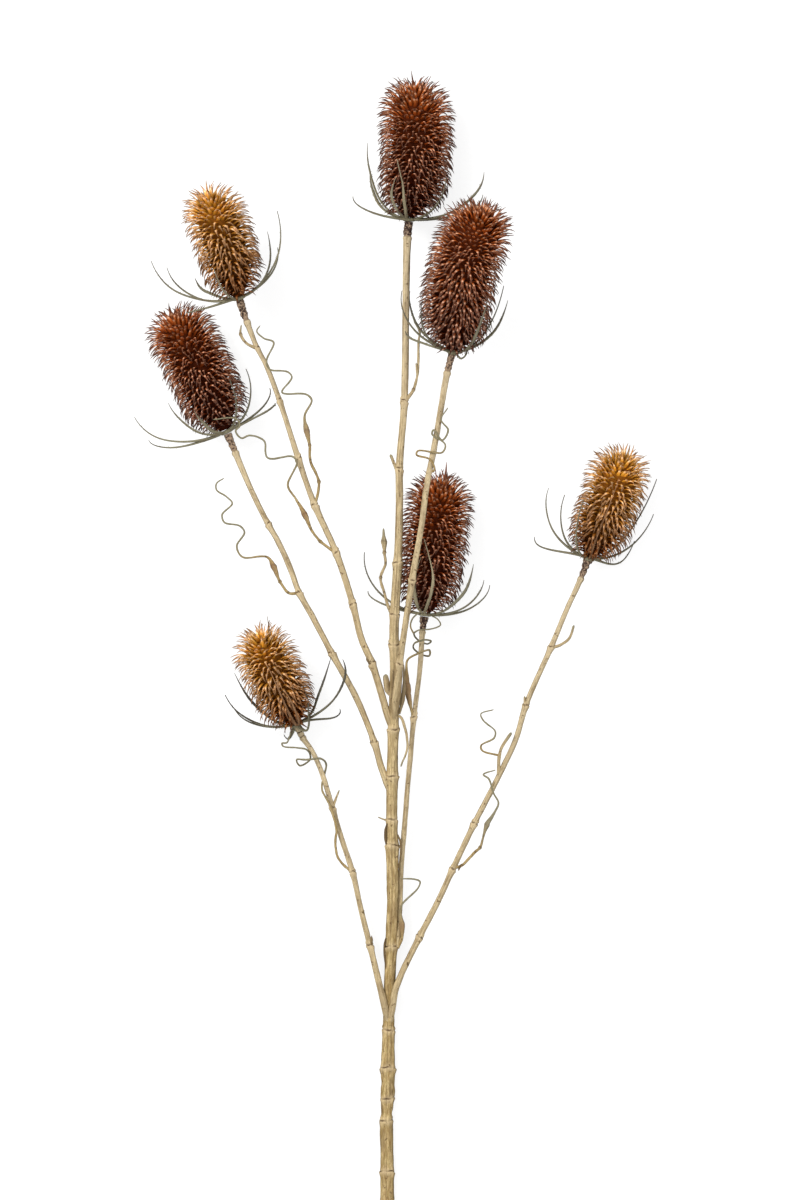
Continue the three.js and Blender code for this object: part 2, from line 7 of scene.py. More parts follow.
import bpy
import numpy as np
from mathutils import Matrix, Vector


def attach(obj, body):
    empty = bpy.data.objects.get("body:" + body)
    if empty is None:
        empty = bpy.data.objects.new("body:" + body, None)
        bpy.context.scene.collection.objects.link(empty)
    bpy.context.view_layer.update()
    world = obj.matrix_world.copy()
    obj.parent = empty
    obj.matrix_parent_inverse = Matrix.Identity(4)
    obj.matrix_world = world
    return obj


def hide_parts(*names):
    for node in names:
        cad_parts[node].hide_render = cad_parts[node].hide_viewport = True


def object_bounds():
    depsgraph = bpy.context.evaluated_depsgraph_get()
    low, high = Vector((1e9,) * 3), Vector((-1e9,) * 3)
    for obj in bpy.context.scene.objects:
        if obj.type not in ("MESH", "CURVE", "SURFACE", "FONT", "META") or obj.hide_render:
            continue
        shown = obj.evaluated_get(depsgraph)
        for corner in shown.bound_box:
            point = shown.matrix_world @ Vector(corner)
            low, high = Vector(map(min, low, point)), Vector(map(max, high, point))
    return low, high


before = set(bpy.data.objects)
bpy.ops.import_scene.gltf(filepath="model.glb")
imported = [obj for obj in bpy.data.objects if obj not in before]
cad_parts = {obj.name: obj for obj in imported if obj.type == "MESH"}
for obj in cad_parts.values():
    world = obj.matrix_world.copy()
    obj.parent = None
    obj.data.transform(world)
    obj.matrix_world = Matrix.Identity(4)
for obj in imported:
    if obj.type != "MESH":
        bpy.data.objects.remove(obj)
CAD_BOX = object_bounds()

bl_info = {
    "name": "Teasel spray",
    "version": (1, 0, 0),
    "blender": (4, 5, 0),
    "location": "3D View > Sidebar > Teasel",
    "description": "Builds a dried teasel spray with spiny heads, bracts and tendrils",
    "category": "Add Mesh",
}

MM = 0.001
FLOOR_CLEAR = 0.05 * MM

# Drawing grid: x to the right, y towards the cut foot, one step is GRID metres.
GRID = 0.65 * MM
GRID_MIDDLE = (395.6, 641.2)

# Each head: grid point of its base, height of the base in mm, lean to the right and rise towards
# the viewer in degrees, length and full width with spines in mm, how far the middle bows out to
# the right in mm, its colouring, the length in mm and darkness of its neck, and the darkness and
# broadness of its bracts.
HEAD_KEYS = ("base", "z", "lean", "rise", "length", "width", "bow", "tone", "neck", "neck_dark",
             "bract_dark", "bract_wide")
HEADS = [dict(zip(HEAD_KEYS, row)) for row in (
    ((409, 217), 24, 3, 0, 90, 49, 2.6, "brown", 9.5, 1.0, 0.2, 1.15),
    ((453, 350), 45, 11.8, 20, 101, 50, -4.2, "brown", 12, 0.85, 0.3, 1.0),
    ((238.5, 296), 38, -17, 15, 75, 43, 1.8, "ochre", 14, 0.9, 0.4, 1.0),
    ((225.5, 429.5), 23.4, -25, 0, 87, 47, 1, "brown", 12, 0.85, 0.4, 1.0),
    ((425, 612), 22.6, 7.4, 0, 91, 46, 0, "brown", 9, 1.0, 0.3, 1.25),
    ((589.4, 555.5), 14.4, 19.3, 18, 77, 43, 1.2, "ochre", 12, 0.92, 0.3, 1.0),
    ((295, 722), 13.5, -24, 22, 71, 42, 0, "ochre", 8, 0.3, 0.8, 1.4),
)]

# Bract tips of each head: grid x, grid y, height in mm and, where a bract bends off its quarter
# of an ellipse, how far its middle bends to the right and towards the top of the head, in mm.
BRACT_TIPS = (
    ((367.6, 142.5, 22), (370, 172, 12), (353, 196.7, 30), (397, 161, 49, 3.9),
     (396, 178, 43, -3.2), (484, 172, 28), (483, 194, 18), (446, 179, 38), (428, 221, 32),
     (405, 187, 3)),
    ((402, 292, 55), (410, 292, 44), (422, 302, 70), (405.5, 332, 50), (503, 288, 66),
     (507.5, 301, 50), (487, 302, 79), (455, 305, 24), (474, 325, 24)),
    ((152, 262, 44), (168, 269, 54), (195, 278, 28), (187, 313, 44), (277.5, 212, 44),
     (268, 233.5, 58), (277.5, 248, 34), (215, 271, 63), (236, 262, 14)),
    ((134.5, 417, 24), (168.5, 403, 34), (148.5, 440, 20), (246, 369, 30), (269.6, 388, 20),
     (276, 403, 26), (230, 380, 46), (195, 411, 45), (218, 398, 3)),
    ((364.5, 552, 12), (368, 591, 17), (473.5, 564, 30), (484, 580, 22), (490, 585, 14),
     (424, 539, 47, 8), (421, 557, 44, -3.5), (440, 582, 3)),
    ((548.6, 488, 30), (564.4, 495, 37), (535, 536.6, 17, 0, -4), (583, 500, 46),
     (618, 479, 50, 0, -6), (656.7, 479, 27), (654, 514, 15), (635, 541, 9, 0, -6.5),
     (602, 528, 2)),
    ((234.5, 673, 27), (225, 695, 19), (233.5, 708, 11), (331, 657, 26, -9), (342.7, 659, 35),
     (339.6, 709, 16, 0, -5), (285, 690, 46, 1.5), (266, 661, 50, 0, -6), (276, 698, 2)),
)

# Routes of the stems: grid x, grid y, height, thickness and how far a swollen ring stands out.
# The branches carry the second head and the ones after it, in order.
MAIN_STEM = (
    (387, 1212, 4.6, 9.2), (387.2, 1174, 4.6, 8.6, 0.9), (386.6, 1122, 4.6, 8.4, 0.6),
    (387, 1100, 4.7, 8.6, 0.7), (387.6, 1070, 4.9, 8.8, 0.9), (388.3, 1032, 5.5, 7.4, 0.7),
    (389, 1000, 6.3, 7.2), (391, 948, 9, 7.4, 1), (392.7, 898, 12, 7.6),
    (392.2, 846, 15, 8, 0.9), (391.8, 820, 16.5, 7, 0.6), (392, 777, 19, 7.3, 1),
    (393.5, 729, 22, 7, 1), (395, 671, 26, 6.6), (394, 644.5, 28, 6.2, 0.9),
    (394.5, 614, 30.5, 6, 0.6), (397.8, 562, 35, 5.6, 0.9), (399.5, 500, 37, 4.8),
    (399.3, 469, 37, 4.6, 0.8), (404.3, 402, 33, 4.3, 0.8), (405.8, 314, 28.5, 4.4),
    (407.3, 241, 24.3, 5),
)
BRANCHES = (
    ((394, 727, 22, 4.4), (395, 700, 29, 4.3), (399.7, 663.7, 37, 4.2, 0.8),
     (405.5, 623.5, 45, 4.1), (412.2, 579.5, 50, 4, 0.8), (420.8, 529.7, 51, 4),
     (427, 484, 49.5, 4), (433.9, 449, 46.5, 4), (440, 414, 43.5, 3.9), (446.1, 378, 41.3, 4),
     (449.6, 362.5, 42, 4.3)),
    ((393, 729, 22, 4.5), (388.5, 718.5, 23.5, 4.5), (381.6, 694, 25.5, 4.4),
     (372, 663, 27.5, 4.3, 0.8), (361.5, 638.8, 28.5, 4.2), (352.9, 604, 30, 4.1, 0.7),
     (336.2, 552.7, 31.5, 4, 0.7), (315, 505.8, 33, 3.8, 0.8), (298.5, 459, 34, 3.5, 0.7),
     (279.6, 400.7, 34.5, 3.2, 0.7), (265.6, 364, 34.5, 3), (257, 347.4, 34, 3, 0.4),
     (245.6, 317.9, 34.7, 3.8)),
    ((392, 793, 18.5, 4.4), (387.3, 784, 19, 4.5), (380.8, 766, 20, 4.2), (374, 742, 21, 4, 0.8),
     (356.3, 698, 22, 3.9), (331.7, 653, 23, 3.9, 0.8), (311.6, 615, 23.5, 3.7),
     (299.3, 593, 24, 3.6, 0.7), (289.3, 566, 24, 3.6), (278, 541.5, 24, 3.6),
     (268, 523.7, 24, 3.5, 0.8), (251.3, 490, 24, 3.4), (234.2, 449.8, 23.5, 4)),
    ((397, 948, 9.5, 3.6), (399.7, 910, 10, 3.6), (401.2, 867, 11, 3.5), (404.3, 829, 12.5, 3.5),
     (407.3, 790.6, 15, 3.4), (410, 762, 16.5, 3.4), (414, 717, 18.5, 3.3, 0.9),
     (419.8, 671, 20.5, 3.2), (422.6, 629, 22.3, 3.8)),
    ((389.7, 1024, 6.6, 4.2), (392.2, 1009, 9.6, 4.8), (395.4, 991, 11, 4.3),
     (401.6, 974.5, 11, 4.1), (419.6, 937.6, 10.5, 3.9, 0.8), (438, 902, 11.5, 3.8),
     (453, 869.5, 12, 3.7, 0.8), (474.7, 823.6, 13, 3.6, 0.8), (498.6, 777, 13, 3.6),
     (515.9, 740, 13, 3.5), (526.3, 705.3, 13, 3.5, 0.8), (551.7, 646.8, 12, 3.4, 0.8),
     (568, 607.7, 10.8, 3.3), (582.8, 575.2, 11, 3.8)),
    ((387.6, 1024, 6.6, 4.2), (384.9, 1009, 9.6, 4.8), (380.6, 991, 10.5, 4.2),
     (370, 947, 8.8, 3.8, 0.8), (359.8, 906, 9.5, 3.6), (352.7, 873.5, 10.5, 3.5, 0.6),
     (341.4, 838.8, 11.5, 3.5), (332.2, 808.2, 12, 3.4, 0.8), (321, 771.4, 11.5, 3.3),
     (311.5, 751, 10.5, 3.3), (302.4, 738, 10.6, 3.9)),
)
TWIGS = (
    ((405, 402, 33, 2.2), (413.5, 390, 35, 2, 0.4), (417.6, 373.5, 36, 1.8), (418.6, 341, 36.5, 1.5),
     (419.6, 333, 37, 1.3), (413.5, 321, 37, 0.7)),
    ((417.4, 375, 36, 1.7), (416, 363, 38, 0.9)),
    ((399, 473, 37, 2), (396, 468, 37.5, 2.2), (390.3, 454.5, 38, 1.7)),
    ((394, 616, 30.5, 2.2), (390, 611, 31, 2), (384.4, 593, 32, 1.8), (380.6, 577.6, 33, 1.8, 0.4),
     (385.4, 564, 33.5, 1.7), (384.4, 552.7, 34, 1.7, 0.4), (384, 542, 34, 3),
     (383.5, 528, 34, 0.9)),
    ((393, 697, 24.5, 2.2), (387.8, 691, 25, 2.6), (386.6, 682, 25.5, 3.1), (385.6, 674, 25.5, 2.2)),
    ((257, 349, 34, 2), (246, 343, 36, 1.7), (241, 334.7, 36.5, 1.7, 0.3), (241.7, 325, 37, 0.8)),
    ((552, 648, 12, 2.1), (561, 645, 12.6, 1.9), (569.5, 638.5, 13.3, 1.8), (574.5, 625, 14, 1.4)),
    ((526, 706, 13, 2.4), (524.6, 696, 15.5, 1.2)),
    ((498.6, 778, 13, 2.3), (500.7, 751, 16, 2), (511.6, 732.4, 18, 1.9)),
    ((332.5, 809, 12, 1.9), (335, 801, 13.5, 1.7), (339.4, 790, 15, 0.8)),
    ((391.5, 822, 16.5, 1.6), (386, 820.5, 18, 1.3), (377.5, 817, 20, 0.7)),
    ((395, 716, 23, 1.9), (400.7, 717, 25, 1.8), (407.4, 746, 26, 1.6), (400.7, 767, 25, 1.0)),
)
TENDRILS = (
    ((315, 507, 33, 1.9), (318.9, 482, 35, 1.8, 0.4), (310.5, 461, 36.5, 1.7),
     (309.8, 445.6, 37, 1.8, 0.4), (307, 431.5, 37.5, 2.8), (304.9, 416, 38, 1.5),
     (311.9, 400.7, 39, 1.3), (306.3, 395, 40, 1.3), (282.4, 393, 41, 1.2), (292.2, 378, 42, 1.2),
     (288, 372.6, 42, 1.2), (269.8, 369.8, 41, 1.2), (267, 361, 41, 1.2), (274, 343, 41, 1.2),
     (264.2, 339, 41, 1.1), (257.2, 332, 41, 1), (260.7, 326, 41, 0.7)),
    ((336, 553, 31.5, 1.9), (320.5, 541.5, 33, 1.8, 0.4), (311.6, 530, 34, 1.7),
     (305, 514.7, 35, 2.8), (296, 499, 35, 1.5), (288, 485.7, 35.5, 1.4), (297, 463, 39.5, 1.3),
     (293, 457, 39.5, 1.3), (267.7, 458, 36, 1.3), (264.2, 441, 35, 1.2), (250, 435.7, 36, 1.2),
     (241.7, 438.5, 37.5, 1.2), (236, 431.5, 39, 1.2), (240.3, 426, 40, 1.2), (236, 419, 41, 1.1),
     (213.7, 420, 43, 0.7)),
    ((299.5, 593, 24, 1.9), (289, 593, 25, 1.8), (280, 581.7, 26, 1.8, 0.4), (273.7, 566, 27, 2.8),
     (267, 557, 27, 1.4), (242.4, 557, 28, 1.3), (236.8, 546, 28, 1.3), (244.6, 532.6, 29, 1.3),
     (240, 526, 30, 1.2), (224.6, 522.5, 30, 1.2), (222.3, 514.7, 30, 1.2),
     (232.4, 503.6, 30, 1.2), (226.8, 497, 29, 1.1), (216.7, 490, 28.5, 1.1),
     (216.7, 483.5, 28, 1), (224.6, 478, 28, 0.7)),
    ((352.7, 874, 10.5, 1.8), (338.4, 859, 13, 1.6), (335.3, 843, 15, 1.6),
     (336.3, 830.6, 16, 1.5), (331, 808, 17, 1.4), (322, 790, 16, 1.3), (324, 775.5, 8.5, 1.3),
     (326, 765, 10, 1.3), (321, 759, 15.5, 1.3), (306.7, 760, 16, 1.3), (296.5, 760, 15, 1.2),
     (299.6, 766, 12, 1.2), (309.8, 760, 6.5, 1.2), (306.7, 750, 15, 1.2), (296.5, 748, 16, 1.1),
     (283, 746.5, 15.5, 1.1), (281.8, 743.5, 16, 1.1), (286.5, 743, 17, 1.1), (289.5, 737, 18, 1),
     (290.5, 731, 19, 0.8)),
    ((453, 869, 12, 1.9), (461.7, 866, 14, 1.8), (474.7, 852.8, 15.5, 1.7),
     (480, 848, 16, 1.7, 0.4), (483.4, 837, 17, 1.5), (487, 825, 17.5, 2.7),
     (495.3, 811.6, 18, 1.4), (498.6, 803, 18, 1.3), (494, 794, 18, 1.2), (488.8, 779, 18.5, 1.2),
     (483.4, 774.8, 18.5, 1.1), (496, 770, 19, 0.7)),
    ((500.3, 756, 15.4, 1.5), (482.3, 750.8, 17, 1.3), (481.2, 745.6, 18, 1.2),
     (494.2, 738, 20, 1.2), (495.3, 731.4, 20.5, 1.1), (483.4, 720.5, 20.5, 1.1),
     (481, 714, 20, 1), (494.2, 709.7, 19, 0.7)),
    ((430, 473, 48.5, 1.6), (434.4, 470, 50.5, 1.4), (429.8, 460, 51.5, 1.3),
     (416.5, 455.5, 50, 1.3), (418, 451.5, 50, 1.2), (442, 453, 50, 1.2), (445, 445, 48.5, 1.2),
     (432, 434.7, 48.5, 1.2), (433.5, 430.6, 48.5, 1.2), (442, 440.8, 47.5, 1.2),
     (448, 430.6, 46, 1.2), (441, 420.4, 47, 1.1), (448, 408, 46, 0.7)),
    ((414, 718, 18.5, 1.8), (411, 708, 20.5, 1.9), (408, 692, 22, 3.2), (406.5, 671, 23.5, 2.0),
     (407.6, 660, 24.5, 1.4), (417, 654, 26.5, 1.3), (429, 650, 24, 1.3), (429, 656, 19, 1.2),
     (420, 654, 15.5, 1.2), (413.5, 648, 19, 1.2), (415, 643, 25, 1.2), (424, 640, 27, 1.2),
     (431, 641, 22, 1.2), (427, 644, 16.5, 1.1), (418, 640, 16.5, 1.1), (414, 634, 21, 1.1),
     (419, 630, 27, 1), (431, 629, 27, 1), (440.5, 625, 26, 0.9),
     (438, 619.5, 27.5, 0.9), (431, 615.5, 26, 0.8)),
    ((414, 634, 21, 1.1), (410.5, 626.5, 24, 1.1), (412.5, 618.5, 26, 1.0), (418, 613.5, 27, 1.0),
     (422, 611.5, 27, 0.8)),
    ((398, 949, 10, 1.8), (402, 938, 12, 1.9), (402, 925, 14, 2.8), (400.5, 913, 15, 1.5),
     (402, 905, 16, 1.3), (418, 888.6, 16, 1.2), (420, 882, 16.5, 1.2), (414, 879.5, 17, 1.1),
     (399.9, 879, 18.5, 0.7)),
)

# Flakes of bark, bud scales and dry sheaths on the stems: darkness, then routes as above.
FLAKES = (
    (0.75, ((386.8, 974, 9.5, 0.9), (384.8, 958, 10, 1.5), (384.4, 947, 11, 1.5),
            (385.8, 938, 12, 0.7))),
    (0.75, ((386.8, 847, 17, 1.0), (385.4, 838, 18, 1.9), (385.6, 829, 18.5, 1.3),
            (387.4, 823, 19, 0.7))),
    (0.6, ((397.8, 835, 17, 0.9), (400.6, 843, 18, 1.5), (400.8, 854, 17.5, 1.4),
           (398.4, 869, 16, 0.8))),
    (0.6, ((370.6, 947, 10.2, 1.0), (371.8, 941, 11.5, 1.5), (371.4, 936, 12, 0.6))),
    (0.6, ((360.6, 915, 10, 0.8), (363.2, 913, 11, 1.3), (364.2, 910.6, 11.5, 0.6))),
    (0.75, ((408.2, 967, 12, 0.7), (407.6, 964.5, 12.8, 1.3), (408.6, 962, 12, 0.7))),
    (0.75, ((458.6, 871, 14, 0.7), (459.8, 867.5, 14.4, 1.4), (461.6, 864, 14.5, 0.7))),
    (0.6, ((371.4, 665, 29.4, 0.8), (367.6, 660.5, 30.5, 1.5), (366.2, 657.5, 31, 0.7))),
    (0.4, ((396.4, 716, 26, 1.2), (398.6, 700, 30, 2.4), (400.6, 682, 34, 2.0),
           (402.4, 664, 37.5, 0.8))),
    (0.3, ((399.6, 714, 24.5, 1.2), (402.4, 700, 27, 2.6), (404.2, 684, 28, 2.2),
           (403.4, 664, 29, 0.9))),
    (0.45, ((391.2, 712, 26, 1.0), (391.6, 700, 27.6, 1.8), (392.8, 684, 28.4, 1.5),
            (393.2, 668, 29, 0.7))),
)

# Small curled bracts under the discs: head number, then grid x, grid y and height along each.
CURLED_BRACTS = (
    (2, ((454, 350.5, 48), (456.5, 355.5, 51), (460.5, 359.5, 52), (464.5, 357.5, 51),
         (465.5, 352, 49.5), (463, 347, 48.5))),
    (7, ((297, 723, 15), (302, 730, 19), (306.5, 730.5, 22), (309, 724, 25), (308.5, 712, 28),
         (308, 700, 30), (304.5, 689, 31))),
    (7, ((293.2, 724.8, 12.5), (292.6, 731, 13.5), (290.6, 737, 15), (287.6, 739.2, 16.5),
         (285.2, 737.2, 17.5), (283.7, 734.6, 18))),
)

# Single long hairs: head number, grid x, grid y and height of the root and of the tip, half width
# in mm at the root and how far along a spine's colours they are.
LONG_HAIRS = (
    (1, (412.5, 92, 24), (411, 70.2, 25), 1.0, 0.85),
    (5, (442, 490, 24), (446.6, 462, 25), 1.7, 0.62),
    (7, (269, 642, 34), (267.5, 616, 40), 0.75, 1.0),
)


# First seeds of the pieces that are drawn with seeded scatter.
SEEDS = {"main_stem": 11, "branches": 20, "twigs": 40, "tendrils": 60, "flakes": 80, "spines": 100,
         "bracts": 200}

NECK_TOP = -3.1 * MM
NECK_RADIUS = 2.7 * MM
STEM_STEP = 0.6 * MM

# Angle of a spine to the plane across its head, in degrees, at its root and at its tip: halfway up
# the head, its change to the head's top and to the head's foot, and its scatter.
ROOT_ANGLE = (36, 48, -22, 9)
TIP_ANGLE = (-78, 118, 38, 14)


def length_property(name, description, millimetres):
    """A length that a user would change."""
    return bpy.props.FloatProperty(name=name, description=description,
                                   default=millimetres * MM, unit="LENGTH")


def colour_property(name, description, value):
    """A linear colour that a user would change."""
    return bpy.props.FloatVectorProperty(name=name, description=description, subtype="COLOR",
                                         default=value, min=0, max=1)


class TeaselSizes(bpy.types.PropertyGroup):
    """Sizes that a user would change."""
    spine_length: length_property("Spine length", "Length of a spine along its curve", 12.2)
    spine_reach: length_property("Spine reach", "How far the spines stand out of the core", 9.5)
    spine_base: length_property("Spine base", "Half width of the scale under a spine", 2.0)
    spine_awn: length_property("Spine awn", "Half width of the slender part of a spine", 0.42)
    spine_gap: length_property("Spine gap", "Distance between two spines of a row", 3.05)
    row_gap: length_property("Row gap", "Distance between two rows of spines", 2.6)
    bract_width: length_property("Bract width", "Half width of a bract at its broadest", 0.9)
    bract_thickness: length_property("Bract thickness", "Half thickness of a bract", 0.55)
    furrow_depth: bpy.props.FloatProperty(
        name="Furrow depth", description="Depth of the lengthwise furrows, as a share of the radius",
        default=0.04, subtype="FACTOR", min=0, max=1)
    sheath_lip: length_property("Sheath lip", "Depth of the cleft over each swollen joint", 0.45)


class TeaselColours(bpy.types.PropertyGroup):
    """Colours that a user would change, linear."""
    straw: colour_property("Straw", "Main colour of the stems", (0.31, 0.20, 0.07))
    straw_light: colour_property("Light straw", "Bleached streaks of the stems", (0.66, 0.50, 0.255))
    straw_dark: colour_property("Dark straw", "Specks of the stems", (0.12, 0.065, 0.026))
    neck: colour_property("Neck", "Necks under the heads", (0.035, 0.017, 0.013))
    olive: colour_property("Olive", "Bracts and the ends of tendrils", (0.15, 0.14, 0.085))
    olive_light: colour_property("Light olive", "Bleached ribs of the bracts", (0.36, 0.33, 0.22))


def place(rows):
    """Grid x, grid y and height in mm of each row, as metres in the part's frame."""
    rows = np.array([row[:3] for row in rows], dtype=float)
    return np.stack([(rows[:, 0] - GRID_MIDDLE[0]) * GRID,
                     (GRID_MIDDLE[1] - rows[:, 1]) * GRID,
                     rows[:, 2] * MM], axis=1)


def route_values(route):
    """Points of a route, its thickness and how far its swollen rings stand out, in metres."""
    thickness = np.array([row[3] for row in route]) * MM
    ring = np.array([row[4] if len(row) > 4 else 0 for row in route]) * MM
    return place(route), thickness, ring


def unit(vectors):
    """Vectors scaled to length one."""
    return vectors / np.linalg.norm(vectors, axis=-1, keepdims=True)


def round_angles(sides):
    """Even angles round a section."""
    return np.arange(sides) / sides * 2 * np.pi


def bell(distance, width):
    """One at zero distance, falling off smoothly over the width."""
    return np.exp(-(distance / width)**2)


def fading(steps):
    """A smooth fall from one to nothing over a few steps to both sides of zero."""
    return 1 / (1 + np.exp(np.clip(steps, -60, 60)))


def head_frame(head):
    """Base point, axis, direction across and direction to the viewer of a head.

    The axis leans in the plane of the floor and rises out of it; across lies flat, square to it.
    """
    lean, rise = np.radians(head["lean"]), np.radians(head["rise"])
    axis = np.array([np.sin(lean) * np.cos(rise), np.cos(lean) * np.cos(rise), np.sin(rise)])
    across = np.array([np.cos(lean), -np.sin(lean), 0.0])
    base = place([(*head["base"], head["z"])])[0]
    return base, axis, across, np.cross(across, axis)


HEAD_FRAMES = [head_frame(head) for head in HEADS]


def smooth_path(points, values, step):
    """A centripetal Catmull-Rom curve through points, sampled at an even step along its length.

    Each span is a cubic whose end slopes come from the neighbouring points, weighted by the
    square roots of the spans' lengths. values are spread in straight lines between the points.
    Returns the samples, the values at them, and the distance along the curve of each sample and
    of each given point.
    """
    span_samples = 24
    ends = np.vstack([2 * points[0] - points[1], points, 2 * points[-1] - points[-2]])
    gap = np.sqrt(np.linalg.norm(np.diff(ends, axis=0), axis=1))[:, None]
    before, here, there, after = ends[:-3], ends[1:-2], ends[2:-1], ends[3:]
    slope_here = ((here - before) / gap[:-2] - (there - before) / (gap[:-2] + gap[1:-1])
                  + (there - here) / gap[1:-1]) * gap[1:-1]
    slope_there = ((there - here) / gap[1:-1] - (after - here) / (gap[1:-1] + gap[2:])
                   + (after - there) / gap[2:]) * gap[1:-1]
    t = np.linspace(0, 1, span_samples, endpoint=False)[None, :, None]
    fine = ((2 * t**3 - 3 * t**2 + 1) * here[:, None] + (t**3 - 2 * t**2 + t) * slope_here[:, None]
            + (3 * t**2 - 2 * t**3) * there[:, None] + (t**3 - t**2) * slope_there[:, None])
    fine = np.vstack([fine.reshape(-1, 3), points[-1]])
    place_in_route = np.append(
        (np.arange(len(points) - 1)[:, None] + t[0, :, 0][None]).ravel(), len(points) - 1)
    length = np.append(0, np.cumsum(np.linalg.norm(np.diff(fine, axis=0), axis=1)))
    count = max(int(np.ceil(length[-1] / step)), 3)
    along = np.linspace(0, length[-1], count + 1)
    samples = np.stack([np.interp(along, length, fine[:, k]) for k in range(3)], axis=1)
    route_at = np.interp(along, length, place_in_route)
    spread = [np.interp(route_at, np.arange(len(points)), value) for value in values]
    return samples, spread, along, length[::span_samples]


def carried_frames(points):
    """Tangent and two square directions at each point of a path, carried along without twist."""
    tangent = unit(np.gradient(points, axis=0))
    side = np.empty_like(points)
    start = np.array([0, 0, 1.0])
    for index, direction in enumerate(tangent):
        start = start - start @ direction * direction
        start = start / np.linalg.norm(start)
        side[index] = start
    return tangent, side, np.cross(tangent, side)


def skinned(ring, ends, cover, turned=False):
    """A closed shell over rings of vertices, with a point in the middle of each end.

    cover holds attributes, each as one value, one a station or one a vertex. turned says that the
    rings run the other way round.
    """
    stations, sides = ring.shape[:2]
    a = np.arange(stations * sides).reshape(stations, sides)
    b = np.roll(a, -1, axis=1)
    quads = np.stack([a[:-1], b[:-1], b[1:], a[1:]], axis=-1).reshape(-1, 4)
    if turned:
        quads, a, b = quads[:, [0, 3, 2, 1]], b, a
    foot, top = stations * sides, stations * sides + 1
    triangles = np.vstack([np.stack([b[0], a[0], np.full(sides, foot)], axis=-1),
                           np.stack([a[-1], b[-1], np.full(sides, top)], axis=-1)])
    attributes = {}
    for name, values in cover.items():
        values = np.asarray(values, float)
        values = values if values.ndim == 2 else values.reshape(-1, 1)
        values = np.broadcast_to(values, (stations, sides))
        attributes[name] = np.append(values.ravel(), (values[0, 0], values[-1, 0]))
    return {"vertices": np.vstack([ring.reshape(-1, 3), *ends]), "quads": quads,
            "triangles": triangles, "attributes": attributes}


def tube(points, radii, sides, cover):
    """A closed tube: the ring at a station is centre + radius * (side cos a + other sin a). radii
    has one number a station, or one a vertex."""
    _, side, other = carried_frames(points)
    angle = round_angles(sides)
    radii = np.broadcast_to(np.asarray(radii).reshape(len(points), -1), (len(points), sides))
    ring = (points[:, None]
            + radii[..., None] * (np.cos(angle)[None, :, None] * side[:, None]
                                  + np.sin(angle)[None, :, None] * other[:, None]))
    return skinned(ring, (points[0], points[-1]), {"around": angle[None] / (2 * np.pi), **cover})


def gathered(shells):
    """Several shells as one, with their faces renumbered."""
    counts = np.cumsum([0] + [len(shell["vertices"]) for shell in shells[:-1]])
    names = sorted(set().union(*(shell["attributes"] for shell in shells)))
    faces = {kind: np.vstack([shell[kind] + shift for shell, shift in zip(shells, counts)])
             for kind in ("quads", "triangles")}
    attributes = {name: np.concatenate([
        shell["attributes"].get(name, np.zeros(len(shell["vertices"]))) for shell in shells])
        for name in names}
    return {"vertices": np.vstack([shell["vertices"] for shell in shells]), **faces,
            "attributes": attributes}


def add_piece(name, shell, material, slot, *nodes):
    """A mesh object of a shell, kept above the floor, riding on the root and replacing nodes."""
    mesh = bpy.data.meshes.new(name)
    vertices = shell["vertices"].copy()
    vertices[:, 2] = np.maximum(vertices[:, 2], FLOOR_CLEAR)
    quads, triangles = shell["quads"], shell["triangles"]
    mesh.vertices.add(len(vertices))
    mesh.vertices.foreach_set("co", vertices.astype(np.float32).ravel())
    corners = np.concatenate([quads.ravel(), triangles.ravel()])
    mesh.loops.add(len(corners))
    mesh.loops.foreach_set("vertex_index", corners.astype(np.int32))
    sizes = np.repeat([4, 3], [len(quads), len(triangles)])
    mesh.polygons.add(len(sizes))
    mesh.polygons.foreach_set("loop_start", np.append(0, np.cumsum(sizes)[:-1]).astype(np.int32))
    mesh.polygons.foreach_set("use_smooth", np.ones(len(sizes), dtype=bool))
    for attribute, values in shell["attributes"].items():
        layer = mesh.attributes.new(attribute, "FLOAT", "POINT")
        layer.data.foreach_set("value", values.astype(np.float32))
    mesh.update(calc_edges=True)
    mesh.validate()
    mesh.materials.append(material)
    piece = bpy.data.objects.new(name, mesh)
    bpy.context.scene.collection.objects.link(piece)
    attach(piece, "root")
    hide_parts(*nodes)


# Stems


def waves_over(angle, along, random, turns, pitch):
    """A smooth uneven pattern round and along a stem, of spread about one: the sum of waves with
    seeded whole numbers of turns, pitches and phases."""
    count = 8
    round_turns = random.integers(0, turns + 1, count)
    climb = random.normal(0, 2 * np.pi, count) / pitch
    phase = random.uniform(0, 2 * np.pi, count)
    waves = np.cos(angle[None, :, None] * round_turns + along[:, None, None] * climb + phase)
    return waves.sum(-1) / np.sqrt(count / 2)


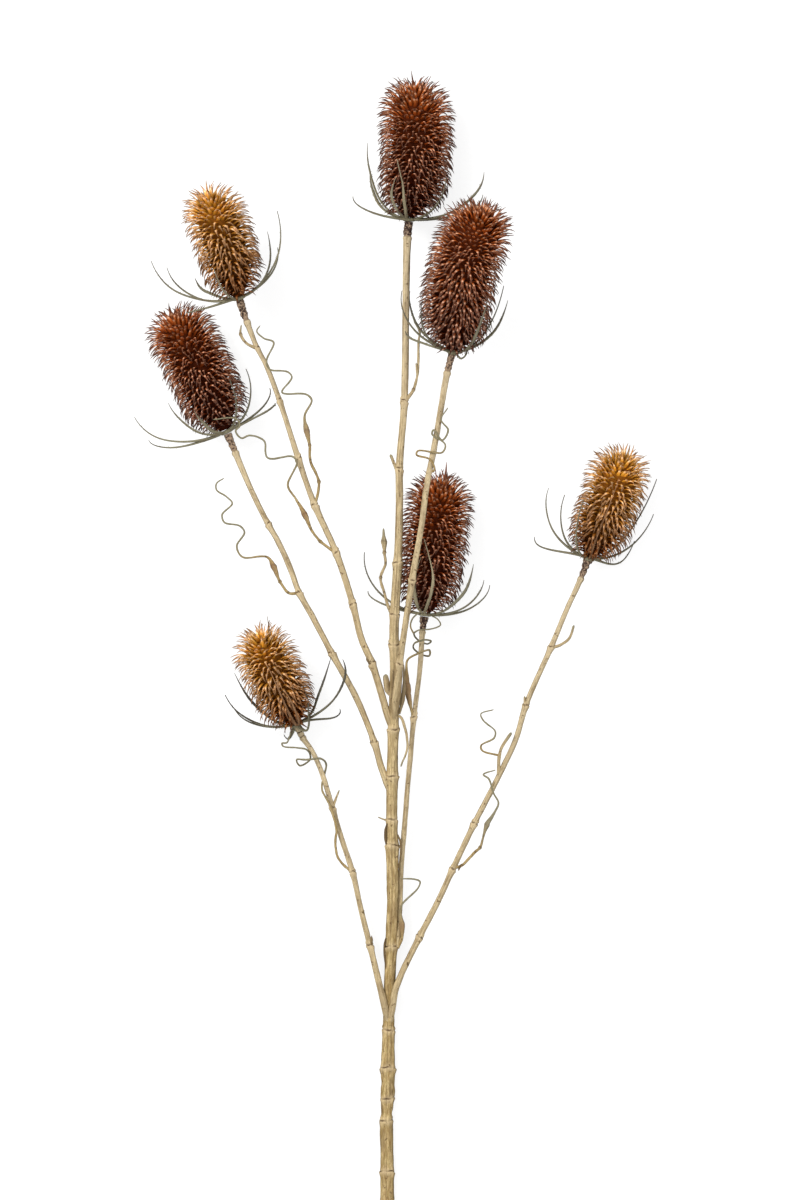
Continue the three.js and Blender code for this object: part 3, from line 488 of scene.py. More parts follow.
def joint_relief(along, angle, joints, height, radius, sizes, random):
    """Relief, cleft and swelling at the swollen joints of a stem.

    Every joint ends in an uneven line round the stem. Below the line the sheath flares out to a
    lip, above it lies a cleft of varying depth, and over that a pair of bud scars stands out.
    """
    flare, lip, cleft_at, cleft_width, swell_reach = (v * MM for v in (3.4, 0.14, 0.5, 0.42, 2.3))
    scar_at, scar_size, scar_height = (v * MM for v in (1.7, 1.0, 0.55))
    phase = random.uniform(0, 2 * np.pi, (5, len(joints)))
    turn = angle[:, None]
    edge = (0.55 * np.cos(turn + phase[0]) + 0.28 * np.cos(2 * turn + phase[1])
            + 0.2 * np.cos(5 * turn + phase[2])) * MM
    above = along[:, None, None] - joints - edge
    sheath = np.exp(np.minimum(above, 0) / flare) * fading(above / lip)
    swelling = bell(above, swell_reach)
    ragged = 0.6 + 0.4 * np.cos(3 * turn + phase[3])
    cleft = bell(above - cleft_at, cleft_width) * ragged
    scars = 0
    for side in (0, np.pi):
        sideways = 2 * radius * np.sin((turn - phase[4] - side) / 2)
        scars = scars + bell(above - scar_at, scar_size) * bell(sideways, scar_size)
    relief = (height * (0.7 * sheath + 0.5 * swelling) + scar_height * scars
              - sizes.sheath_lip * cleft).sum(-1)
    return relief, cleft.max(-1), swelling.max(-1)


def neck_relief(along, neck_length, sides, random):
    """Relief and masks of the neck under a head, by the distance down from its top.

    The straw ends in a rim that stands out; over it lies the scurfy neck, in two parts with a
    groove between them.
    """
    lump_pitch, edge_steps = 3.5 * MM, 30
    down = (along[-1] - along)[:, None] / neck_length
    rim, groove, waist = bell(down - 1.13, 0.13), bell(down - 0.52, 0.05), bell(down - 0.97, 0.06)
    neck = fading((down - 1) * edge_steps)
    scurf = random.normal(0, 1, (len(along), sides))
    lumps = waves_over(round_angles(sides), along, random, 5, lump_pitch)
    relief = (0.45 * rim - 0.4 * waist - 0.3 * groove + (0.09 * scurf + 0.2 * lumps) * neck) * MM
    return relief, neck, np.maximum(groove, waist) * neck


def stem_shell(route, head, frames, sizes, seed, sides, ribs, pale, rough_row=None):
    """A jointed stem: a tube along its route.

    radius = thickness / 2 * (1 + furrows + uneven waves) + the relief of its joints and neck.
    pale is how bleached its two ends are, and rough_row the row of the route round which the bark
    is roughest.
    """
    furrow_pitch, bow_pitch, lump_pitch, rough_reach = (v * MM for v in (12, 30, 7, 19))
    random = np.random.default_rng(seed)
    points, thickness, ring = route_values(route)
    points = np.vstack([points, frames[0] + frames[1] * NECK_TOP])
    thickness, ring = np.append(thickness, 2 * NECK_RADIUS), np.append(ring, 0)
    samples, (thick,), along, at = smooth_path(points, [thickness], STEM_STEP)
    angle = round_angles(sides)
    relief, cleft, swelling = joint_relief(along, angle, at[ring > 0], ring[ring > 0],
                                           thick.mean() / 2, sizes, random)
    furrows = (waves_over(angle, along / 6, random, ribs, furrow_pitch) * 0.5
               + 0.75 * np.cos(ribs * angle + random.uniform(0, 6))[None]) * sizes.furrow_depth
    uneven = (0.026 * waves_over(angle, along, random, 3, bow_pitch)
              + 0.013 * waves_over(angle, along, random, 8, lump_pitch))
    if rough_row is not None:
        uneven = uneven * (1 + 2.8 * bell(along - at[rough_row], rough_reach))[:, None]
    more, neck, groove = neck_relief(along, head["neck"] * MM, sides, random)
    radii = thick[:, None] / 2 * (1 + furrows + uneven) + relief + more
    return tube(samples, radii, sides, {
        "distance": along / MM,
        # joint: the cleft over each joint and the neck's groove; the straw darkens them as painted
        # shade
        "joint": np.maximum(cleft, groove),
        "swelling": swelling,
        "neck": neck * head["neck_dark"],
        # how deep the surface lies; the straw darkens the deep parts as painted shade
        "furrow": (furrows + uneven) / sizes.furrow_depth,
        "pale": np.clip(pale[0] + (pale[1] - pale[0]) * along / along[-1], 0, 1),
        "chance": random.uniform(),
    })


def twig_shell(route, seed, sides, step, fade, brown, dark=0.0):
    """A twig or tendril: a thin ribbed tube with small knots and ridged pods, going from straw to
    olive over the last share of its length, from fade on. brown colours its pods and dark browns
    the whole of it."""
    knot_length, end_length, pod_from, pod_over = (v * MM for v in (0.8, 1.2, 2.0, 0.8))
    rib_pitch, scale_pitch, wave_pitch = (v * MM for v in (9, 1.3, 9))
    random = np.random.default_rng(seed)
    points, thickness, ring = route_values(route)
    samples, (thick,), along, at = smooth_path(points, [thickness], step)
    angle = round_angles(sides)
    offset = (along[:, None] - at[None]) / knot_length
    knots = (bell(offset, 1) * ring[None]).sum(-1)
    share = along / along[-1]
    end = np.clip((1 - share) * along[-1] / end_length, 0, 1)**0.5
    pod = np.clip((thick - pod_from) / pod_over, 0, 1)
    ribs = 0.1 * np.cos(5 * angle[None] + along[:, None] / rib_pitch) * (0.5 + pod[:, None])
    scales = 0.09 * np.abs(np.sin(along / scale_pitch))[:, None] * pod[:, None]
    uneven = 0.07 * waves_over(angle, along, random, 3, wave_pitch)
    radii = (thick / 2 * (1 + 0.28 * pod) + knots)[:, None] * (1 + ribs + scales + uneven)
    return tube(samples, radii * end[:, None], sides, {
        "distance": along / MM,
        # joint: a band past each knot, darkened as painted shade like the stems' clefts, and the
        # flakes' own darkness
        "joint": np.maximum(0.5 * bell(offset - 1, 1).max(-1) * (knots > 0), 0.8 * dark),
        # how deep the surface lies, for the painted shade in the furrows
        "furrow": (ribs + uneven) / 0.14,
        "pod": pod * brown,
        "pale": 0.7 * (1 - brown) * (1 - dark),
        "tip": np.clip((share - fade) / 0.25, 0, 1),
        "chance": random.uniform(),
    })


# Heads


def core_radius(distance, length, widest):
    """Radius of a head's core: a foot that widens, a slightly swollen body and a blunt dome."""
    foot_radius, flare, dome_length, dome_power, bulge = 3.7 * MM, 24 * MM, 14 * MM, 2.8, 0.05
    foot = np.clip(distance / flare, 0, 1)
    dome = np.clip((distance - (length - dome_length)) / dome_length, 0, 1)
    swell = 1 + bulge * np.sin(np.pi * np.clip(distance / length, 0, 1))
    body = foot_radius + (widest - foot_radius) * np.sin(foot * np.pi / 2)
    return body * swell * np.sqrt(np.clip(1 - dome**dome_power, 0, 1))


def core_size(head, sizes):
    """Length of a head's core, and its radius where it is widest."""
    return head["length"] * MM - sizes.spine_reach, (head["width"] * MM / 2 - sizes.spine_reach) / 1.05


def core_middle(head, frames, sizes, share):
    """Middle of a head's core at each share of its length: the axis, bowed out to one side."""
    base, axis, across, _ = frames
    bow = head["bow"] * MM * np.sin(np.pi * share)
    return base + (share * core_size(head, sizes)[0])[:, None] * axis + bow[:, None] * across


def core_shell(head, frames, sizes):
    """The core of a head: its profile turned round the bowed axis, with low scales on it."""
    length, widest = core_size(head, sizes)
    stations, sides, scales_round = 64, 48, 24
    share = 0.5 - 0.5 * np.cos(np.linspace(0.02, 0.985, stations) * np.pi)
    radius = core_radius(share * length, length, widest)
    rows = (share * length / sizes.row_gap * np.pi)[:, None]
    scales = np.abs(np.sin(rows)) * np.abs(np.cos(scales_round / 2 * round_angles(sides)[None] + rows))
    return tube(core_middle(head, frames, sizes, share), radius[:, None] * (1 + 0.05 * scales), sides,
                {"head_share": share, "spine_share": 0, "chance": 0.5})


def spine_places(head, sizes, random):
    """Distance along the axis and angle round it of every spine: rows at an even step over the
    core's surface, each second row turned by half a gap, with a little seeded scatter. The spines
    of a row stand closer near the top."""
    length, widest = core_size(head, sizes)
    fine = np.linspace(0.02 * length, 0.999 * length, 400)
    arc = np.append(0, np.cumsum(np.hypot(np.diff(fine), np.diff(core_radius(fine, length, widest)))))
    rows = np.arange(0.3 * sizes.row_gap, arc[-1], sizes.row_gap)
    row_distance = np.interp(rows, arc, fine)
    gap = sizes.spine_gap * (1 - 0.2 * (row_distance / length)**6)
    row_length = 2 * np.pi * core_radius(row_distance, length, widest)
    count = np.maximum(np.round(row_length / gap), 3).astype(int)
    row = np.repeat(np.arange(len(rows)), count)
    place_in_row = np.arange(len(row)) - np.repeat(np.append(0, np.cumsum(count)[:-1]), count)
    turn = (place_in_row + 0.5 * (row % 2) + random.normal(0, 0.16, len(row))) / count[row]
    distance = row_distance[row] + random.normal(0, 0.45, len(row)) * MM
    return np.clip(distance, 0.01 * length, 0.999 * length), 2 * np.pi * turn


def first_touch(points, obstacles):
    """Share of each spine's length that is free of obstacles and under the top of the CAD's box,
    from its station points."""
    centres, radii = obstacles
    clearance, least_share = 0.5 * MM, 0.2
    ceiling = CAD_BOX[1][2] - 0.4 * MM
    free = np.ones(len(points))
    stations = points.shape[1]
    for station in range(stations - 1, 1, -1):
        gap = np.linalg.norm(points[:, station, None] - centres[None], axis=-1) - radii[None]
        touching = (gap.min(axis=1) < clearance) | (points[:, station, 2] > ceiling)
        free[touching] = max((station - 1.2) / (stations - 1), least_share)
    return free


def spines_shell(head, frames, sizes, seed, obstacles):
    """The spines of a head: scales that narrow into long awns and arch over towards their tips.

    A spine's direction turns evenly from its first to its last angle over the plane across the
    head, and its path is the running sum of that direction. Its section is a flat diamond whose
    width falls from the scale to the awn and then to the tip.
    """
    _, axis, across, front = frames
    random = np.random.default_rng(seed)
    distance, angle = spine_places(head, sizes, random)
    length, widest = core_size(head, sizes)
    count, stations, foot_share, tip_size = len(distance), 10, 0.15, 0.35
    sunk, least_radius = 0.5 * MM, 0.2 * MM
    share_up = distance / length
    root_radius = np.maximum(core_radius(distance, length, widest) - sunk, least_radius)
    cosine, sine = np.cos(angle)[:, None], np.sin(angle)[:, None]
    outward, sideways = cosine * across + sine * front, -sine * across + cosine * front
    foot_lift = np.clip(1 - share_up / foot_share, 0, 1)

    def scatter(spread):
        """A seeded deviation for every spine, without the far ones."""
        return np.clip(random.normal(0, spread, count), -1.6 * spread, 1.6 * spread)

    half_up, to_top, to_foot, spread = ROOT_ANGLE
    first = half_up + to_top * share_up**5 + to_foot * foot_lift + scatter(spread)
    half_up, to_top, to_foot, spread = TIP_ANGLE
    last = (half_up + to_top * share_up**4 + to_foot * foot_lift
            + scatter(spread) * (1 + 0.6 * share_up**6))
    t = np.linspace(0, 1, stations)
    slope = np.radians(first[:, None] + (last - first)[:, None] * t[None])
    out = np.cumsum(np.cos(slope), axis=1) - np.cos(slope[:, :1])
    up = np.cumsum(np.sin(slope), axis=1) - np.sin(slope[:, :1])
    swing = (scatter(0.15) * (1 + 0.7 * share_up**6))[:, None] * t[None]**2 * stations
    scale = sizes.spine_length * (1 + scatter(0.08)) / (stations - 1)
    scale = scale * (1 - 0.25 * foot_lift) * (1 + 0.04 * share_up**8)
    root = core_middle(head, frames, sizes, share_up) + root_radius[:, None] * outward

    def path(free):
        """Station points of all spines, each cut down to its free share of length."""
        return (root[:, None] + (scale * free)[:, None, None] * (
            out[..., None] * outward[:, None] + up[..., None] * axis
            + swing[..., None] * sideways[:, None]))

    points = path(first_touch(path(np.ones(count)), obstacles))
    tangent = unit(np.gradient(points, axis=1))
    flat = unit(sideways[:, None] - (tangent * sideways[:, None]).sum(-1, keepdims=True) * tangent)
    thick = np.cross(tangent, flat)
    width = (sizes.spine_base - sizes.spine_awn) * (1 - t)**2.2 + sizes.spine_awn * (1 - 0.8 * t**5)
    depth = sizes.spine_awn * (1 - 0.75 * t**4)
    corner = np.array([(1, 0), (0, 1), (-1, 0), (0, -1)])[:, :, None]
    ring = (points[:, :, None] + corner[:, 0] * width[:, None, None] * flat[:, :, None]
            + corner[:, 1] * depth[:, None, None] * thick[:, :, None])
    ring[:, -1] = points[:, -1, None] + (ring[:, -1] - points[:, -1, None]) * tip_size
    index = np.arange(count * stations * 4).reshape(count, stations, 4)
    after = np.roll(index, -1, axis=2)
    quads = np.stack([index[:, :-1], after[:, :-1], after[:, 1:], index[:, 1:]], axis=-1)
    cover = {"head_share": share_up[:, None, None], "spine_share": t[None, :, None],
             "chance": random.uniform(size=count)[:, None, None]}
    return {
        "vertices": ring.reshape(-1, 3),
        "quads": np.vstack([quads.reshape(-1, 4), index[:, 0, ::-1], index[:, -1]]),
        "triangles": np.zeros((0, 3), dtype=int),
        "attributes": {name: np.broadcast_to(values, index.shape).ravel()
                       for name, values in cover.items()},
    }


def hair_shells(number):
    """The single long hairs that stand out of the top of some heads: thin bent cones."""
    bend, step, sides, middle_share, tip_width = 0.7 * MM, 0.8 * MM, 6, 0.62, 0.15
    shells = []
    for head, root, tip, wide, shade in LONG_HAIRS:
        if head == number:
            start, end = place([root, tip])
            middle = (start + end) / 2 + np.array([bend, 0, 0])
            widths = np.array([wide, middle_share * wide, tip_width]) * MM
            points, (width,), _, _ = smooth_path(np.array([start, middle, end]), [widths], step)
            shells.append(tube(points, width, sides,
                               {"head_share": 0.6, "spine_share": shade, "chance": 0.5}))
    return shells


# Bracts


def bract_path(tip, frames, stations):
    """A quarter of an ellipse: out from the disc, then round and up along the head to the tip,
    with the bend across and along the head that the tip's row gives."""
    base, axis, across, _ = frames
    below_base, bend_scale, lowest = 1.55 * MM, 1.3 * MM, 0.9 * MM
    root = base - below_base * axis
    reach = place([tip])[0] - root
    rise = reach @ axis
    out = reach - rise * axis
    turn = np.linspace(0.06, 1, stations)[:, None] * np.pi / 2
    bend = bend_scale * np.sin(2 * turn) * np.sin(turn)
    bend_across, bend_up = (*tip[3:], 0, 0)[:2]
    points = (root + np.sin(turn) * out + ((1 - np.cos(turn)) * rise + bend * bend_up) * axis
              + bend * bend_across * across)
    points[:, 2] = np.maximum(points[:, 2], lowest)
    return points


def bract_shade(head, points, frames, seed):
    """Darkness and warmth of a bract: a seeded change of its head's darkness, and the warm dry
    colour of the ones that stand before the head, browner over the ochre heads."""
    least_across, least_slope, change, bleaching = 8 * MM, 0.8, 0.18, 0.8
    _, _, across, front = frames
    away = points[-1] - points[0]
    slope = away @ front / (np.abs(away @ across) + least_across)
    before = np.clip((slope - least_slope) / least_slope, 0, 1)
    dark = np.clip(head["bract_dark"] + np.random.default_rng(seed).normal(0, change), 0, 1)
    full_warmth = 1.0 if head["tone"] == "ochre" else 0.5
    return dark * (1 - bleaching * before), full_warmth * before


def bract_shells(points, frames, sizes, shade, wide, seed):
    """A bract and its prickles: a flat strap with a keel, broadest near its middle and running out
    to a fine point.

    half width = broadest * (0.8 + 0.35 sin(pi t)) * (1 - t^2.8)^0.8 with small uneven teeth; the
    section is a lens of eight corners with a raised rib on each face. shade holds its darkness
    and its warmth, and wide is its head's broadness of bracts.
    """
    wobble_size, least_width, least_thickness, sides = 0.5 * MM, 0.1 * MM, 0.05 * MM, 8
    random = np.random.default_rng(seed)
    t = np.linspace(0, 1, len(points))
    wobble = wobble_size * np.sin(t * random.uniform(6, 11) + random.uniform(0, 6)) * np.sin(np.pi * t)
    tangent, _, _ = carried_frames(points)
    sideways = unit(np.cross(tangent, frames[1][None] + 1e-6))
    face = np.cross(sideways, tangent)
    twist = (random.uniform(-0.9, 0.9) * t * 1.4)[:, None]
    sideways, face = (np.cos(twist) * sideways + np.sin(twist) * face,
                      np.cos(twist) * face - np.sin(twist) * sideways)
    points = points + wobble[:, None] * sideways
    teeth = 1 + 0.16 * np.abs(np.sin(t * 43 + random.uniform(0, 3))) * (t < 0.85)
    width = sizes.bract_width * wide * (0.8 + 0.35 * np.sin(np.pi * t)) * (1 - t**2.8)**0.8 * teeth
    width = width + least_width
    thick = sizes.bract_thickness * (1 - 0.75 * t) + least_thickness
    angle = round_angles(sides)
    rib = 1 + 0.5 * (np.abs(np.sin(angle)) > 0.99)
    ring = (points[:, None] + (width[:, None] * np.cos(angle)[None])[..., None] * sideways[:, None]
            + (thick[:, None] * (np.sin(angle) * rib)[None])[..., None] * face[:, None])
    shell = skinned(ring, (points[0], points[-1]), {
        "bract_share": t, "rib": np.abs(np.sin(angle))[None], "dark": shade[0], "warm": shade[1],
        "chance": random.uniform()}, turned=True)
    return [shell, prickle_shell(points, sideways, face, width, shade, random)]


def prickle_shell(points, sideways, face, width, shade, random):
    """Small prickles on the edges and the keel of a bract: three-sided points at seeded places."""
    count, half_foot, foot_thickness = 22, 0.22 * MM, 0.15 * MM
    station = random.integers(3, len(points) - 8, count)
    side = random.choice((-1.0, 0.0, 1.0), count)
    lift = np.where(side == 0, -1.0, 0.25)
    root = points[station] + (side * width[station] * 0.8)[:, None] * sideways[station]
    tangent = unit(points[np.minimum(station + 1, len(points) - 1)] - points[station])
    direction = unit(side[:, None] * sideways[station] + lift[:, None] * face[station] + 0.5 * tangent)
    length = random.uniform(0.7, 1.5, count) * MM
    cross = unit(np.cross(direction, tangent + 1e-6))
    corners = np.stack([root + half_foot * tangent,
                        root - half_foot * tangent + foot_thickness * cross,
                        root - half_foot * tangent - foot_thickness * cross,
                        root + direction * length[:, None]], axis=1)
    index = np.arange(count * 4).reshape(count, 4)
    faces = [(0, 1, 3), (1, 2, 3), (2, 0, 3), (0, 2, 1)]
    cover = {"bract_share": 0.5, "rib": 1, "dark": shade[0], "warm": shade[1], "chance": 0.3}
    return {"vertices": corners.reshape(-1, 3), "quads": np.zeros((0, 4), dtype=int),
            "triangles": np.vstack([index[:, face_corners] for face_corners in faces]),
            "attributes": {name: np.full(count * 4, float(value)) for name, value in cover.items()}}


def disc_shell(frames):
    """The small disc that the bracts grow from: a rounded rim with low bumps."""
    base, axis, _, _ = frames
    sides, stations, bumps = 40, 9, 10
    share = np.linspace(0, 1, stations)
    points = base + (-2.8 + 2.5 * share)[:, None] * MM * axis
    round_rim = 3.0 + 1.4 * np.sqrt(np.clip(1 - (2 * share - 1)**2, 0, 1))
    radii = round_rim[:, None] * MM * (1 + 0.05 * np.cos(bumps * round_angles(sides))[None])
    return tube(points, radii, sides, {"bract_share": 0, "rib": 0.4, "chance": 0.5})


# Materials


class NodeMaker:
    """Short forms for adding linked nodes to a tree."""

    def __init__(self, tree):
        self.tree = tree

    def new(self, kind, values=None, **settings):
        """A node with settings, and with values or links on its input sockets."""
        node = self.tree.nodes.new(kind)
        for key, value in settings.items():
            setattr(node, key, value)
        for key, value in (values or {}).items():
            self.put(node.inputs[key], value)
        return node

    def put(self, socket, value):
        """A value or a link on a socket; a colour is given as its red, green and blue."""
        if isinstance(value, bpy.types.NodeSocket):
            self.tree.links.new(value, socket)
        else:
            socket.default_value = (*value, 1.0) if socket.type == "RGBA" else value

    def math(self, operation, a, b=0.0, clamp=False):
        """A math node's result."""
        return self.new("ShaderNodeMath", {0: a, 1: b}, operation=operation,
                        use_clamp=clamp).outputs[0]

    def times(self, a, b, clamp=False):
        """A product."""
        return self.math("MULTIPLY", a, b, clamp)

    def mix(self, factor, a, b, blend="MIX"):
        """Two colours mixed by a factor."""
        return self.new("ShaderNodeMix", {0: factor, 6: a, 7: b}, data_type="RGBA",
                        blend_type=blend).outputs[2]

    def painted(self, base, *layers):
        """A colour with others laid over it, each as a factor and a colour."""
        for factor, over in layers:
            base = self.mix(factor, base, over)
        return base

    def attribute(self, name):
        """A float attribute of the piece."""
        return self.new("ShaderNodeAttribute", attribute_name=name).outputs["Fac"]

    def span(self, value, low, high, top=1.0, bottom=0.0):
        """A value spread from low and high to bottom and top."""
        return self.new("ShaderNodeMapRange", {"Value": value, "From Min": low, "From Max": high,
                                               "To Min": bottom, "To Max": top}).outputs[0]

    def noise(self, vector, scale, detail=3.0, roughness=0.6):
        """A noise pattern's value."""
        return self.new("ShaderNodeTexNoise", {"Scale": scale, "Detail": detail, "Vector": vector,
                                               "Roughness": roughness}).outputs["Fac"]

    def place(self):
        """Each point's place on the piece."""
        return self.new("ShaderNodeTexCoord").outputs["Object"]

    def ramp(self, value, stops):
        """A colour ramp through (position, colour) stops."""
        node = self.new("ShaderNodeValToRGB", {"Fac": value})
        stop_list = node.color_ramp.elements
        for stop, (position, colour) in zip(stop_list, (stops[0], stops[-1])):
            stop.position, stop.color = position, (*colour, 1)
        for position, colour in stops[1:-1]:
            stop_list.new(position).color = (*colour, 1)
        return node.outputs["Color"]

    def group(self, name, build, values=None):
        """A placed node group, built on its first use."""
        return self.new("ShaderNodeGroup", values,
                        node_tree=bpy.data.node_groups.get(name) or build(name))

    def bump(self, shader, height, strength, distance):
        """Bump from a height on a shader's normal."""
        node = self.new("ShaderNodeBump", {"Height": height, "Strength": strength,
                                           "Distance": distance})
        self.put(shader.inputs["Normal"], node.outputs[0])


def group_of(name, inputs, outputs):
    """A new shader node group with named float sockets; returns it with the maker of its nodes,
    its input sockets by name and its output node."""
    group = bpy.data.node_groups.new(name, "ShaderNodeTree")
    for socket, default in inputs.items():
        made = group.interface.new_socket(socket, in_out="INPUT", socket_type="NodeSocketFloat")
        made.default_value = default
    for socket in outputs:
        group.interface.new_socket(socket, in_out="OUTPUT", socket_type="NodeSocketFloat")
    given = group.nodes.new("NodeGroupInput").outputs
    return group, NodeMaker(group), given, group.nodes.new("NodeGroupOutput")


def fibre_group(name):
    """Dry plant fibre: long streaks along a stem or bract, fine flecks and a height for bump."""
    group, make, given, end = group_of(
        name, {"Distance": 0.0, "Around": 0.0, "Chance": 0.0, "Stretch": 0.04, "Fineness": 10.0},
        ("Streak", "Fleck", "Height"))
    turn = make.times(given["Around"], 2 * np.pi)
    shifted = make.math("ADD", make.times(given["Distance"], given["Stretch"]),
                        make.times(given["Chance"], 40.0))
    place_on = make.new("ShaderNodeCombineXYZ", {"X": make.math("COSINE", turn),
                                                 "Y": make.math("SINE", turn),
                                                 "Z": shifted}).outputs[0]
    streak = make.noise(place_on, 3.2, 5.0, 0.65)
    fleck = make.noise(place_on, given["Fineness"], 2.0, 0.5)
    make.put(end.inputs["Streak"], streak)
    make.put(end.inputs["Fleck"], fleck)
    make.put(end.inputs["Height"], make.math("ADD", make.times(streak, 0.6), fleck))
    return group


def mottle_group(name):
    """Blotches of age over the whole part, by place, with small dark specks."""
    group, make, given, end = group_of(name, {"Size": 60.0, "Speck size": 420.0},
                                       ("Blotch", "Speck"))
    place_on = make.place()
    make.put(end.inputs["Blotch"], make.noise(place_on, given["Size"], 3.0, 0.55))
    speck = make.noise(place_on, given["Speck size"], 2.0, 0.6)
    make.put(end.inputs["Speck"], make.span(speck, 0.63, 0.70))
    return group


def shader_of(name, roughness, specular=0.5):
    """A material with a Principled shader, and the maker of its nodes."""
    material = bpy.data.materials.new(name)
    material.use_nodes = True
    shader = material.node_tree.nodes["Principled BSDF"]
    shader.inputs["Roughness"].default_value = roughness
    shader.inputs["Specular IOR Level"].default_value = specular
    return material, shader, NodeMaker(material.node_tree)


# Colours of the layers over the straw and over the bracts. Over the straw, the layers for the
# furrows, the edges and the clefts are painted shade; the others are its own colours.
STEM_TINTS_AND_SHADE = {
    "blotch": (0.26, 0.155, 0.06), "green": (0.36, 0.30, 0.11), "line": (0.20, 0.115, 0.035),
    "bleached": (0.70, 0.59, 0.41), "furrow": (0.19, 0.12, 0.05), "swelling": (0.68, 0.53, 0.32),
    "edge": (0.20, 0.125, 0.04), "cleft": (0.085, 0.045, 0.018), "pod": (0.32, 0.185, 0.105),
    "scurf": (0.40, 0.28, 0.19),
}
BRACT_TINTS = {
    "blotch": (0.17, 0.11, 0.06), "charcoal": (0.042, 0.038, 0.040), "tip": (0.06, 0.055, 0.05),
    "tan": ((0.13, 0.10, 0.055), (0.50, 0.43, 0.28)),
    "brown": ((0.13, 0.045, 0.018), (0.46, 0.25, 0.12)),
}


def stem_material(name, colours):
    """Bleached straw with streaks, specks, pinkish pods, olive tendril ends and dark scurfy necks,
    with painted shade in the furrows, in the clefts at the joints and along the edges that turn away."""
    tints = STEM_TINTS_AND_SHADE
    material, shader, make = shader_of(name, 0.6, 0.2)
    streaks = make.group("Dry fibre", fibre_group, {
        key: make.attribute(key.lower()) for key in ("Distance", "Around", "Chance")})
    age = make.group("Age mottle", mottle_group)
    streak, fleck = streaks.outputs["Streak"], streaks.outputs["Fleck"]
    # painted shade: how far a surface turns away from the camera, for darkening the edges
    edge_shade_mask = make.new("ShaderNodeLayerWeight", {"Blend": 0.5}).outputs["Facing"]
    grain, neck = make.noise(make.place(), 700.0), make.attribute("neck")
    bare = make.math("SUBTRACT", 1.0, neck)
    scurf = make.span(make.math("ADD", grain, make.times(bare, 0.6)), 0.48, 0.62)
    neck_share = make.span(make.math("SUBTRACT", neck, make.times(grain, bare)), 0.0, 0.75)
    base = make.painted(
        make.mix(make.span(streak, 0.42, 0.58), colours.straw, colours.straw_light),
        (make.span(age.outputs["Blotch"], 0.45, 0.72, 0.6), tints["blotch"]),
        (make.span(fleck, 0.48, 0.68, 0.6), tints["green"]),
        (make.span(fleck, 0.44, 0.36, 0.55), tints["line"]),
        (make.times(make.attribute("pale"), 0.6), tints["bleached"]),
        # painted shade in the furrows, darker where the surface lies deeper
        (make.span(make.attribute("furrow"), 0.2, -2.0, 0.6), tints["furrow"]),
        (make.span(make.attribute("swelling"), 0.0, 1.0, 0.55), tints["swelling"]),
        # painted shade along the edges that turn away from the camera
        (make.span(edge_shade_mask, 0.35, 1.0, 0.65), tints["edge"]),
        # painted shade in the clefts at the joints, in the neck's groove and past the twigs' knots;
        # the dark flakes' own colour
        (make.times(make.attribute("joint"), 1.35, clamp=True), tints["cleft"]),
        (make.times(age.outputs["Speck"], 0.8), colours.straw_dark),
        (make.times(make.attribute("pod"), 0.6), tints["pod"]),
        (neck_share, make.mix(scurf, colours.neck, tints["scurf"])),
        (make.times(make.attribute("tip"), 0.88),
         make.mix(streak, colours.olive, colours.olive_light)))
    make.put(shader.inputs["Base Color"], base)
    make.bump(shader, streaks.outputs["Height"], 0.9, 0.0004)
    return material


# Colour stops of a spine from its scale to its tip: share, then at the head's foot, then at its top.
# The bright stop at 0.52 is a painted highlight on the top of each spine's arch.
SPINE_STOPS_AND_HIGHLIGHT = {
    "brown": (
        (0.0, (0.036, 0.004, 0.0005), (0.105, 0.018, 0.003)),
        (0.25, (0.115, 0.017, 0.003), (0.290, 0.056, 0.008)),
        (0.42, (0.200, 0.054, 0.020), (0.480, 0.135, 0.032)),
        # painted highlight on the top of the arch
        (0.52, (0.620, 0.350, 0.240), (0.780, 0.420, 0.250)),
        (0.61, (0.125, 0.044, 0.024), (0.260, 0.086, 0.040)),
        (1.0, (0.036, 0.022, 0.018), (0.064, 0.034, 0.024)),
    ),
    "ochre": (
        (0.0, (0.060, 0.009, 0.001), (0.380, 0.140, 0.011)),
        (0.25, (0.190, 0.036, 0.003), (0.640, 0.300, 0.030)),
        (0.42, (0.250, 0.070, 0.009), (0.840, 0.440, 0.110)),
        # painted highlight on the top of the arch
        (0.52, (0.560, 0.265, 0.110), (1.000, 0.720, 0.430)),
        (0.62, (0.165, 0.054, 0.014), (0.600, 0.310, 0.130)),
        (1.0, (0.064, 0.032, 0.016), (0.160, 0.095, 0.052)),
    ),
}


def spine_material(name, tone):
    """Dry spines: dark scales, warm awns with a painted highlight where they arch over, and grey
    tips, brighter towards the head's top.
    """
    material, shader, make = shader_of(name, 0.38, 0.13)
    share = make.attribute("spine_share")
    # the ramps hold the painted highlight on each spine's arch
    foot, top = (make.ramp(share, [(stop[0], stop[end]) for stop in SPINE_STOPS_AND_HIGHLIGHT[tone]])
                 for end in (1, 2))
    base = make.mix(make.span(make.attribute("head_share"), 0.12, 0.9), foot, top)
    chance = make.span(make.attribute("chance"), 0.0, 1.0, 1.42, 0.62)
    grey = make.new("ShaderNodeCombineColor", {"Red": chance, "Green": chance, "Blue": chance})
    base = make.mix(1.0, base, grey.outputs[0], blend="MULTIPLY")
    make.put(shader.inputs["Base Color"], base)
    return material


# Colours of a core at its foot and at its top; their darkness is partly the core's own colour and
# partly painted shade between the spines.
CORE_COLOURS_AND_SHADE = {"brown": ((0.024, 0.003, 0.0005), (0.070, 0.012, 0.002)),
                "ochre": ((0.030, 0.007, 0.001), (0.230, 0.080, 0.008))}


